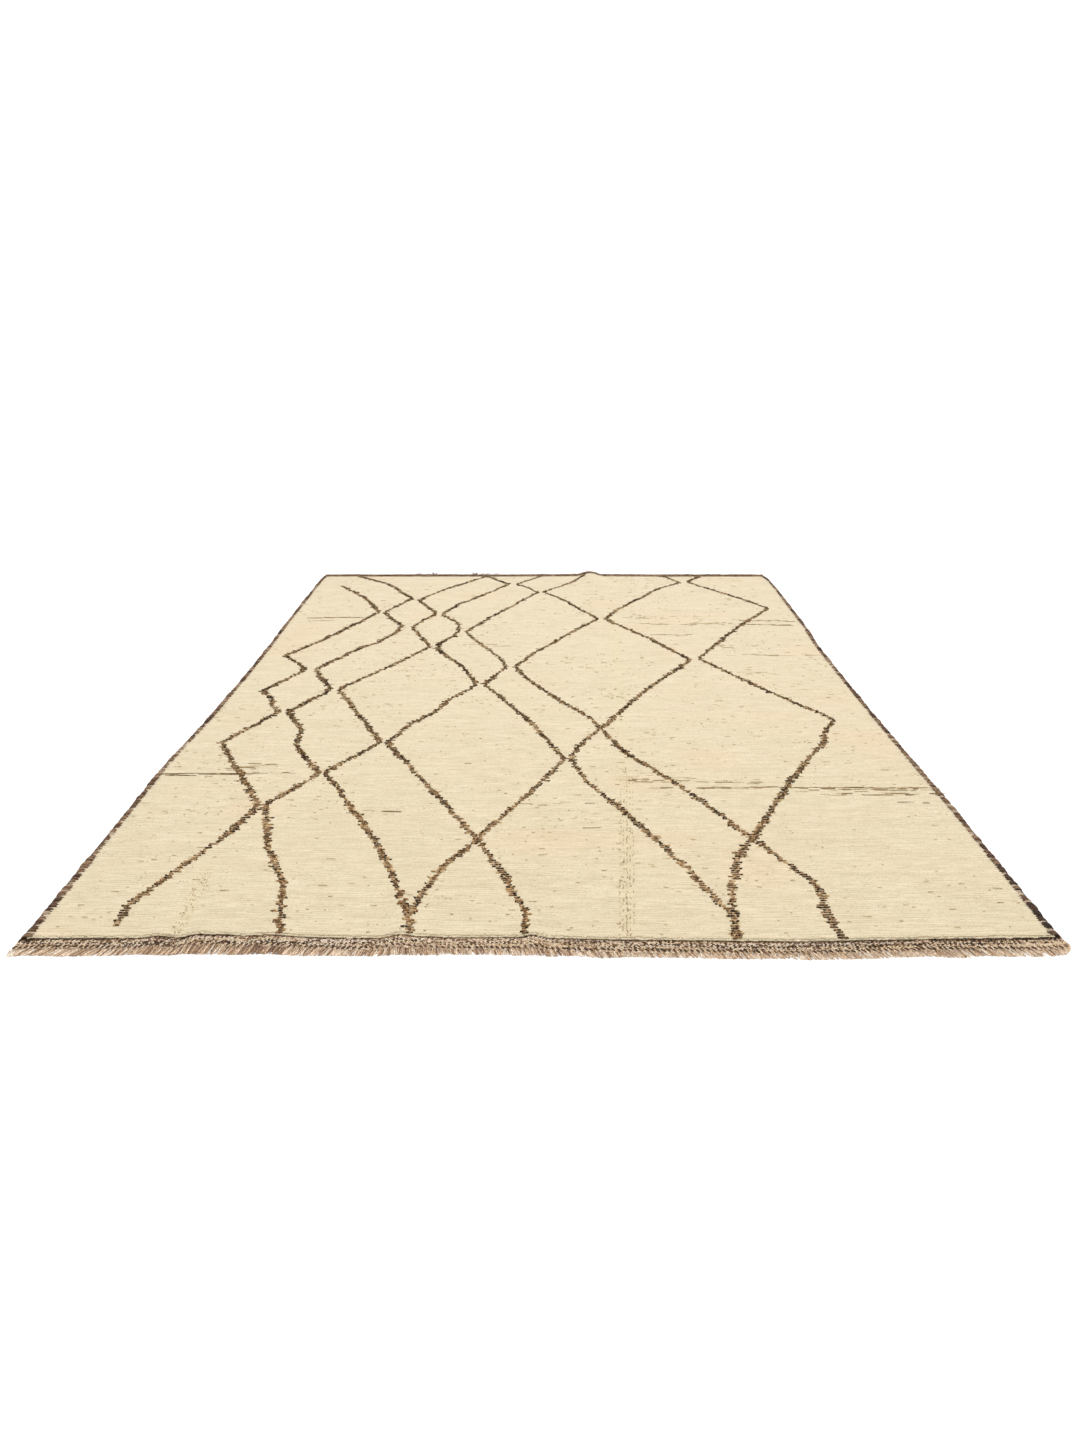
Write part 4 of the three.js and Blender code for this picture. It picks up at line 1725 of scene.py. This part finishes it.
        Yarns(
            centres=centres,
            axes_across=wide * self.yarn_half_width * girth,
            axes_up=outward * self.yarn_half_thickness * girth,
            tips=tips,
            colours=colours[:, None, None],
            sides=5,
            map_columns=24,
        ).add_to(draft)


@dataclass(frozen=True)
class TwinedRow:
    """One row of slanted stitches in a flat-woven end.

    Depth is measured out from the pile's edge. Tones run from 0, the darkest fleece, to 1, the palest,
    at each of TONE_PLACES across the rug, and contrast is how far every second stitch departs from them.
    """

    depth: float
    lean: float
    tones: tuple[float, ...]
    contrast: float


# Places across the rug where the tones of the twined rows are given
TONE_PLACES = (-950, -700, -350, 0, 350, 650, 930)

# From the pile's edge outwards: a dark line, a speckled stripe, a broken line and paler wool
NEAR_ROWS = tuple(TwinedRow(*row) for row in (
    (0.7, 0.3, (-0.05, 0.00, 0.12, 0.20, 0.05, 0.02, -0.05), 0.08),
    (3.9, 0.5, (0.00, 0.24, 0.64, 0.56, 0.45, 0.32, 0.02), 0.22),
    (7.0, 0.5, (0.32, 0.58, 0.84, 0.56, 0.66, 0.44, 0.14), 0.40),
    (10.4, -0.7, (0.80, 0.95, 0.98, 0.78, 0.82, 0.67, 0.62), 0.50),
    (13.8, 0.7, (0.50, 0.90, 0.82, 0.66, 0.44, 0.28, 0.60), 0.55),
    (17.2, -0.7, (0.36, 0.66, 0.46, 0.70, 0.46, 0.15, 0.44), 0.50),
    (20.6, 0.7, (0.58, 0.90, 0.56, 1.08, 0.82, 0.62, 1.00), 0.55),
    (24.0, -0.7, (0.60, 0.88, 0.52, 0.84, 0.54, 0.70, 1.14), 0.52),
    (27.4, 0.7, (0.78, 0.95, 0.86, 0.86, 0.68, 0.88, 1.20), 0.46),
    (30.8, -0.7, (0.72, 0.76, 0.86, 0.88, 0.74, 0.95, 1.16), 0.38),
))
FAR_ROWS = tuple(
    TwinedRow(depth, lean, (tone,) * len(TONE_PLACES), contrast)
    for depth, lean, tone, contrast in (
        (1.8, 0.3, 0.10, 0.10), (6.2, -0.7, 0.30, 0.24), (10.6, 0.7, 0.24, 0.20), (15.0, -0.7, 0.30, 0.24),
        (19.4, 0.7, 0.20, 0.20), (23.8, -0.7, 0.16, 0.16), (28.2, 0.6, 0.12, 0.12),
    )
)


@dataclass
class FlatWovenBand:
    """The flat-woven end of the cloth: rows of slanted stitches side by side over a thin web."""

    end: RugEnd
    rows: tuple[TwinedRow, ...]

    # Two mixes of fleece, dark to pale: one faintly purple and pink, the other going tan outwards
    cool: Palette = ("#2c1e12", "#543c2d", "#8f7564", "#c3a998", "#dfcdbd", "#ecdfd0")
    warm: Palette = ("#2f2210", "#644626", "#977651", "#c8a57e", "#dec19b", "#ead6b4")
    warmth: float = 0.4
    outward_warmth: float = 0.5
    patches: Waver = Waver(68, 0.5, 130, 0.9)
    stitch_pitch: float = 4.1
    stitch_length: float = 6.8
    stitch_width: float = 3.3
    stitch_height: float = 3.4
    stitch_rise: float = 0.9
    course: Waver = Waver(62, 0.9, 70, 0.7)

    # How uneven the tones are, how often a stitch is out of turn, and how far the contrast goes up and down
    unevenness: tuple[Waver, ...] = (
        Waver(65, 0.26, 110, 1.7), Waver(66, 0.2, 26, 3.9), Waver(69, 0.24, 8, 5.3),
    )
    slip_share: float = 0.25
    contrast: float = 0.8
    contrast_sway: Waver = Waver(67, 0.5, 60, 2.3)

    # The web under the stitches begins under the pile
    web_columns: int = 128
    web_start: float = -6.0
    web_under: float = 0.2
    web_top: float = 2.6
    web_colour: str = "#5a4536"
    web_map: float = 0.04

    def at(self, across: Array, depth: Array, height: Array | float) -> Array:
        """Turns a place on the band, by its distance out from the pile's edge, into a point."""
        curled = self.end.curl * np.clip(depth / self.end.band_depth, 0, 1) ** 1.4
        return PLAN.place(across, self.end.pile_edge + self.end.outward * depth, height + curled)

    def build(self, material: Material) -> Piece:
        """Makes the band.

        Args:
            material: What it is made of.

        Returns:
            The band's piece.
        """
        draft = MeshDraft()
        rng = np.random.default_rng(61 + self.end.outward)
        self.add_web(draft)
        self.stitches(rng).add_to(draft)
        return draft.build(f"flat_woven_band_{self.end.name}", material)

    def add_web(self, draft: MeshDraft) -> None:
        """Adds the thin closed web that the stitches lie on.

        Args:
            draft: The mesh being gathered.
        """
        across = np.linspace(-PLAN.half_width + 1, PLAN.half_width - 1, self.web_columns + 1)
        depths = np.array([self.web_start, self.end.weave_depth * 0.5, self.end.weave_depth])
        if self.end.outward < 0:
            depths = depths[::-1]
        depth, sideways = np.meshgrid(depths, across, indexing="ij")
        top = self.at(sideways, depth, self.web_top)
        under = self.at(sideways, depth, self.web_under)
        points, faces, places = thin_slab(top, under, self.web_map)
        colours = np.tile(linear(self.web_colour), (len(points), 1))
        draft.add(points, colours, {3: faces}, {3: places})

    def stitches(self, rng: Generator) -> Yarns:
        """Makes the stitches, row by row.

        Args:
            rng: The random numbers.

        Returns:
            The stitches.
        """
        count = round(2 * PLAN.half_width / self.stitch_pitch)
        total = count * len(self.rows)
        row = np.repeat(np.arange(len(self.rows)), count)
        number = np.tile(np.arange(count), len(self.rows))
        depth, lean, contrast = np.array([[own.depth, own.lean, own.contrast] for own in self.rows])[row].T
        across = (number + 0.5 + 0.5 * (row % 2)) * self.stitch_pitch - PLAN.half_width
        limit = PLAN.half_width - 4
        across = np.clip(across + rng.normal(0, 0.5, total), -limit, limit)
        tones = np.array([np.interp(across, TONE_PLACES, own.tones) for own in self.rows])
        tone = tones[row, np.arange(total)]
        depth = depth + self.course.at(across, row) + rng.normal(0, 0.3, total)
        height = self.web_top + self.stitch_rise + rng.uniform(-0.3, 0.5, total)
        uneven = sum(waver.at(across, row) for waver in self.unevenness)
        uneven = uneven * np.clip(contrast / 0.3, 0.25, 1)
        other = np.where((number + (rng.random(total) < self.slip_share)) % 2 == 0, 1.0, -1.0)
        other = other * contrast * (self.contrast + self.contrast_sway.at(across, row))
        tone = tone + uneven + other + rng.normal(0, 0.3, total) * np.clip(contrast, 0.1, 0.3)
        cool = picked(rng, self.cool, tone, 0.08)
        warm = picked(rng, self.warm, tone, 0.08)
        warmth = self.warmth + self.outward_warmth * depth / self.end.band_depth
        share = np.clip(warmth + self.patches.at(across, row), 0, 1)[:, None]
        return tufts(
            self.at(across, depth, height),
            -lean * self.end.outward + rng.normal(0, 0.1, total),
            self.stitch_length * rng.uniform(0.88, 1.1, total),
            self.stitch_width * rng.uniform(0.9, 1.08, total),
            self.stitch_height,
            cool * (1 - share) + warm * share,
        )


@dataclass
class PileLip:
    """The last rows of cream knots, which hang over the flat-woven bands, in the pile's own wool."""

    knot_pitch: float = 8.5
    knot_height: float = 3.4

    # Each row's distance in from the pile's edge, and its height
    rows: Table = ((1.7, 6.9), (5.0, 9.0))

    def build(self, material: Material) -> Piece:
        """Makes the lips of both ends, in one piece.

        Args:
            material: What they are made of.

        Returns:
            Their piece.
        """
        draft = MeshDraft()
        rng = np.random.default_rng(81)
        for end in PLAN.ends:
            self.knots(end, rng).add_to(draft)
        return draft.build("pile_lip", material)

    def knots(self, end: RugEnd, rng: Generator) -> Yarns:
        """Makes the knots of one end.

        Args:
            end: The rug's end.
            rng: The random numbers.

        Returns:
            The knots.
        """
        count = int(2 * PLAN.field_edge / self.knot_pitch)
        across = np.linspace(-PLAN.field_edge + 4, PLAN.field_edge - 4, count)
        rows = []
        for inward, height in self.rows:
            shift = rng.uniform(-2, 2, count)
            y = end.pile_edge - end.outward * (inward + rng.normal(0, 0.7, count))
            high = height - end.worn(y) + rng.uniform(-0.4, 0.4, count)
            rows.append(PLAN.place(across + shift, y, high))
        places = np.concatenate(rows)
        return tufts(
            places,
            rng.normal(0, 0.12, len(places)),
            rng.uniform(11, 16, len(places)),
            rng.uniform(5.4, 6.6, len(places)),
            self.knot_height,
            np.zeros((len(places), 3)),
        )


@dataclass(frozen=True)
class HeadingYarn:
    """A yarn of the knotted row that ends the weave: how it lies, and its least and greatest sizes."""

    slope: float
    outwards: float
    height: float
    lengths: Pair
    widths: Pair
    thickness: float


@dataclass
class KnottedFringe:
    """The warp ends: a row of small knots outside the band, and short loose strands in locks."""

    end: RugEnd
    palette: Palette = ("#957660", "#bb9c80", "#d9ba98", "#e6caac", "#efdac0", "#f0e2cf")
    dash_palette: Palette = ("#38261f", "#513a2e", "#6e5242", "#8f7259")
    root_palette: Palette = ("#b39473", "#cdb08f", "#dcc3a6", "#e6d2b9")

    # The row of knots that ends the weave: its depth, its pitch and where its slant turns over
    heading_depth: float = 5
    dash_pitch: float = 10.4
    turn_of_lean: float = -330
    root: HeadingYarn = HeadingYarn(0.6, 0.6, 3.4, (10, 13), (5.2, 6.4), 3.8)
    dash: HeadingYarn = HeadingYarn(0.95, -0.6, 6.2, (9, 13), (3.4, 4.8), 2.6)
    dash_strength: float = 0.72
    dash_waver: Waver = Waver(73, 0.5, 95, 0.4)

    # The loose strands
    locks: int = 120
    strands_a_lock: int = 15
    strand_radius: float = 1.05
    sway: Waver = Waver(79, 1.0, 55)
    wander: float = 0.9
    parting: float = 5
    root_height: float = 3.4
    tip_height: float = 0.75
    root_layering: float = 0.9
    tip_layering: float = 1.1
    droop: float = 0.8
    bend: float = 0.9
    straying: float = 0.8
    tone: float = 0.5
    slow_tone: Waver = Waver(74, 0.3, 130, 1.0)
    quick_tone: Waver = Waver(72, 0.5, 5.5, 2.0)

    # How far the strands reach in under the heading, and how much a ridge's height shortens them
    overlap: float = 3
    shortening: float = 0.6

    # A strand's points, their girth, a painted shading from a darker root to a paler tip, and how much of a
    # ridge's height each still follows
    steps: tuple[float, ...] = (0.0, 0.35, 0.72, 1.0)
    girths: tuple[float, ...] = (1.1, 1.0, 0.85, 0.5)
    root_to_tip_shading: tuple[float, ...] = (0.8, 1.0, 1.12, 1.2)
    follow: Table = ((0, 1), (0.2, 0.9), (0.6, 0.3), (1, 0))

    # Some locks are cut a little shorter, some strands stand up, and some crowd in from the corner
    notch_share: float = 0.02
    notch_depth: float = 5
    standing_share: float = 0.45
    standing_middle: float = 0.45
    standing_parts: Waver = Waver(80, 1.0, 24)
    crowd_start: float = 930
    crowd_reach: float = 72

    # The felted mass under them
    felt_depth: float = 11.5
    felt_waver: Waver = Waver(75, 2.6, 21)
    felt_raggedness: Waver = Waver(76, 2.0, 7)
    felt_lean: float = 0.8
    felt_steps: int = 500
    felt_heights: Pair = (0.3, 1.5)
    felt_tone: float = 0.35
    felt_mottle: Waver = Waver(77, 0.5, 12)
    felt_map: float = 0.03

    def build(self, material: Material) -> Piece:
        """Makes the fringe.

        Args:
            material: What it is made of.

        Returns:
            The fringe's piece.
        """
        draft = MeshDraft()
        rng = np.random.default_rng(71 + self.end.outward)
        self.add_felt(draft)
        self.heading(rng).add_to(draft)
        self.strands(rng).add_to(draft)
        return draft.build(f"warp_fringe_{self.end.name}", material)

    def at(
        self, across: Array, depth: Array, height: Array | float,
        sideways: Array | float, lifted: Array | float,
    ) -> Array:
        """Turns a place outside the band into a point.

        Args:
            across: Places across the rug where a strand is rooted.
            depth: Distances outwards from the pile edge.
            height: Heights over the cloth's underside.
            sideways: How far the point has moved off to the side.
            lifted: How much of a ridge's height it still follows.

        Returns:
            The points.
        """
        root = self.end.pile_edge + self.end.outward * self.end.band_depth
        x = across * PLAN.side_scale(across, root) + sideways + ORIGIN_SHIFT[0]
        bow = read_table(self.end.line, across)
        y = self.end.pile_edge + self.end.outward * (depth + bow) + ORIGIN_SHIFT[1]
        z = lifted * (self.end.ridge_lift(across, 0.0) + self.end.curl) + height
        return np.stack(np.broadcast_arrays(x, y, z), -1)

    def add_felt(self, draft: MeshDraft) -> None:
        """Adds the felted mass of short fibres under the strands, thin and with an uneven edge.

        Args:
            draft: The mesh being gathered.
        """
        across = np.linspace(-PLAN.half_width + 3, PLAN.half_width - 3, self.felt_steps + 1)
        reach = self.felt_depth + self.felt_waver.at(across) + self.felt_raggedness.at(across)
        reach = np.where(self.end.parted(across, self.parting / 2), self.parting, reach)
        shares = np.array([[0.0], [0.5], [1.0]])
        if self.end.outward < 0:
            shares = shares[::-1]
        depth = self.end.weave_depth + reach * shares
        offset = self.felt_lean * read_table(self.end.leans, across) * reach * shares
        lifted = 1 - 0.9 * shares
        sideways = np.broadcast_to(across, depth.shape)
        under, top = (self.at(sideways, depth, height, offset, lifted) for height in self.felt_heights)
        points, faces, places = thin_slab(top, under, self.felt_map)
        tone = self.felt_tone + self.felt_mottle.at(points[:, 0])
        tone = tone + read_table(self.end.paleness, points[:, 0])
        colours = picked(np.random.default_rng(78), self.palette, tone, 0.05)
        draft.add(points, colours, {3: faces}, {3: places})

    def heading(self, rng: Generator) -> Yarns:
        """Makes the row that ends the weave: pale slanted roots, and a dark strand crossing each.

        Args:
            rng: The random numbers.

        Returns:
            Roots and dark strands.
        """
        count = round(2 * PLAN.half_width / self.dash_pitch)
        total = 3 * count
        middle = (np.arange(count) + 0.5) * self.dash_pitch - PLAN.half_width
        limit = PLAN.half_width - 6
        across = np.clip(np.tile(middle, 3) + rng.normal(0, 0.8, total), -limit, limit)

        # Each step has two roots, the second half a step on, and a dark strand across them
        kind = np.repeat([0, 1, 2], count)
        across = across + np.array([0.0, 0.5, 0.0])[kind] * self.dash_pitch * np.sign(-across)
        dark = kind == 2
        root, dash = self.root, self.dash
        slope = np.where(dark, dash.slope, root.slope)
        lean = np.where(across < self.turn_of_lean, slope, -slope) * -self.end.outward
        depth = self.end.weave_depth + np.where(dark, dash.outwards, root.outwards)
        depth = depth + rng.normal(0, 1.1, total) + read_table(self.end.headings, across)
        height = np.where(dark, dash.height, root.height) + rng.uniform(-0.3, 0.3, total)
        strength = self.dash_strength + self.dash_waver.at(across) + rng.normal(0, 0.22, total)
        colours = np.where(
            dark[:, None],
            picked(rng, self.dash_palette, 1 - strength, 0.1),
            picked(rng, self.root_palette, rng.random(total), 0.08),
        )
        return tufts(
            self.at(across, depth, height, 0.0, 1.0),
            lean + rng.normal(0, 0.12, total),
            np.where(dark, rng.uniform(*dash.lengths, total), rng.uniform(*root.lengths, total)),
            np.where(dark, rng.uniform(*dash.widths, total), rng.uniform(*root.widths, total)),
            np.where(dark, dash.thickness, root.thickness),
            colours,
        )

    def strands(self, rng: Generator) -> Yarns:
        """Makes the loose strands.

        Args:
            rng: The random numbers.

        Returns:
            The strands.
        """
        end = self.end
        count = self.locks * self.strands_a_lock
        lock = np.repeat(np.arange(self.locks), self.strands_a_lock)
        pitch = 2 * PLAN.half_width / self.locks
        middle = -PLAN.half_width + pitch * (lock + 0.5)
        root = middle + rng.uniform(-0.5, 0.5, count) * pitch
        crowded = np.clip((root - self.crowd_start) / self.crowd_reach, 0, 1)
        root = root + end.crowding * crowded * (1 - crowded) ** 2
        tip = end.band_depth + end.lock_length + end.length_sway * self.sway.at(root)
        tip = tip - self.shortening * end.ridge_lift(root, 0.0)
        notched = rng.random(self.locks)[lock] < self.notch_share
        tip = tip - notched * rng.uniform(0, self.notch_depth, count)
        heading_end = end.weave_depth + self.heading_depth
        tip = np.where(end.parted(root, self.parting / 2), heading_end, tip)
        start = heading_end - self.overlap - read_table(end.starts, root)
        length = (tip - start) * rng.uniform(0.9, 1.03, count)
        step = length * read_table(end.leans, root) + self.wander * scatter(lock + self.locks)
        shares = np.array(self.steps)
        arch = np.sin(shares * np.pi)
        offset = step[:, None] * shares + rng.normal(0, self.bend, (count, 1)) * arch
        offset = offset + rng.normal(0, self.straying, (count, 1)) * shares
        offset = offset + read_table(end.arcs, root)[:, None] * arch
        depth = start[:, None] + length[:, None] * shares
        layer = rng.random((count, 1))
        high = self.root_height + self.root_layering * layer
        height = high + (self.tip_height + self.tip_layering * layer - high) * shares ** self.droop
        standing = (rng.random(count) < self.standing_share) & (self.standing_parts.at(root) > -0.1)
        rise = read_table(end.strays, root) * rng.uniform(0.3, 1, count) * standing
        height = height + rise[:, None] * hump(shares - self.standing_middle)
        centres = self.at(root[:, None], depth, height, offset, read_table(self.follow, shares))
        axis = unit(np.gradient(centres, axis=1))
        side = np.cross([0.0, 0.0, 1.0], axis)
        upward = np.cross(axis, side)
        radius = self.strand_radius * np.array(self.girths)[None, :, None]
        radius = radius * rng.uniform(0.8, 1.2, (count, 1, 1))
        tone = self.tone + self.slow_tone.at(root) + self.quick_tone.at(root)
        tone = tone + rng.normal(0, 0.3, count) + read_table(end.paleness, root)
        # Painted shading along each strand: darker at the root, paler at the tip
        strand_shading = np.array(self.root_to_tip_shading)[None, :, None, None]
        return Yarns(
            centres=centres,
            axes_across=side * radius,
            axes_up=upward * radius,
            tips=np.stack([centres[:, 0] - axis[:, 0], centres[:, -1] + axis[:, -1] * 1.2], 1),
            colours=picked(rng, self.palette, tone, 0.1)[:, None, None] * strand_shading,
            sides=3,
            map_columns=36,
        )


@dataclass
class Studio:
    """A plain white floor under soft even light."""

    floor_half_size: float = 9.0
    floor_colour: str = "#fafaf9"
    sky_strength: float = 1.18
    lamp_power: float = 99
    lamp_size: float = 5.0
    lamp_place: Triple = (0.2, 0.6, 4.8)
    lamp_aim: Triple = (0.0, 0.4, 0.0)

    def build(self) -> None:
        """Makes the floor, the sky and the lamp."""
        half = self.floor_half_size
        corners = [(-half, -half, 0), (half, -half, 0), (half, half, 0), (-half, half, 0)]
        mesh = bpy.data.meshes.new("studio_floor")
        mesh.from_pydata(corners, [], [(0, 1, 2, 3)])
        floor = bpy.data.objects.new("studio_floor", mesh)
        material = bpy.data.materials.new("matt_white_paint")
        material.use_nodes = True
        shader = material.node_tree.nodes["Principled BSDF"]
        shader.inputs["Base Color"].default_value = (*linear(self.floor_colour), 1)
        shader.inputs["Roughness"].default_value = 1.0
        shader.inputs["Specular IOR Level"].default_value = 0.0
        mesh.materials.append(material)
        bpy.context.scene.collection.objects.link(floor)
        floor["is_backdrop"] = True
        world = bpy.data.worlds.new("soft_sky")
        world.use_nodes = True
        background = world.node_tree.nodes["Background"]
        background.inputs["Color"].default_value = (1, 1, 1, 1)
        background.inputs["Strength"].default_value = self.sky_strength
        bpy.context.scene.world = world
        lamp_data = bpy.data.lights.new("soft_lamp", "AREA")
        lamp_data.energy = self.lamp_power
        lamp_data.size = self.lamp_size
        lamp = bpy.data.objects.new("soft_lamp", lamp_data)
        lamp.location = self.lamp_place
        aim = np.array(self.lamp_aim) - np.array(self.lamp_place)
        lamp.rotation_euler = Vector(aim).to_track_quat("-Z", "Y").to_euler()
        bpy.context.scene.collection.objects.link(lamp)
        bpy.context.scene.view_settings.view_transform = "Standard"


@dataclass
class PhotoCamera:
    """The photograph's view: low at the near end, and turned a little to the left."""

    place: Triple = (0.0130, -3.1043, 1.128)
    pitch_down: float = 21.897
    turn_left: float = 0.387
    focal_pixels: float = 1030
    image_height: float = 1440
    sensor: float = 36

    def build(self) -> None:
        """Makes the scene's camera."""
        data = bpy.data.cameras.new("photo_camera")
        data.sensor_width = self.sensor
        data.lens = self.focal_pixels * self.sensor / self.image_height
        camera = bpy.data.objects.new("photo_camera", data)
        camera.location = self.place
        camera.rotation_euler = (math.radians(90 - self.pitch_down), 0, math.radians(self.turn_left))
        bpy.context.scene.collection.objects.link(camera)
        bpy.context.scene.camera = camera


def write_sizes() -> None:
    """Measures the solids' box and the dressed rug's box, in metres, and keeps neither."""
    boxes = {"cad": CAD_BOX, "visual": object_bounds()}
    {name: [list(corner) for corner in box] for name, box in boxes.items()}


def main() -> None:
    """Builds the camera, the studio and every piece of the rug."""
    logging.basicConfig(level=logging.INFO, format="%(name)s: %(message)s")
    PhotoCamera().build()
    Studio().build()

    pile = KnottedCreamPile().build()
    field_piece = dress(PileField().build(pile), Slot.PILE, "rug_cloth")
    with_field = [dress(piece, Slot.PILE) for piece in LatticeKnots().build()]
    with_field += [dress(piece, Slot.PILE) for piece in StrayKnots().build()]
    with_field.append(dress(PileLip().build(pile), Slot.PILE))

    hair = WOUND_HAIR.build()
    for side in Side:
        cord = OvercastCord(side).build(hair)
        with_field.append(dress(cord, Slot.CORD, f"side_cord_{side.name.lower()}"))

    weft = BEATEN_WEFT.build()
    warp = WARP_ENDS.build()
    for end, rows in ((NEAR, NEAR_ROWS), (FAR, FAR_ROWS)):
        band = FlatWovenBand(end, rows).build(weft)
        with_field.append(dress(band, Slot.WEAVE, "rug_cloth"))
        fringe = KnottedFringe(end).build(warp)
        with_field.append(dress(fringe, Slot.WARP, f"fringe_{end.name}"))

    write_sizes()


if __name__ == "__main__":
    main()
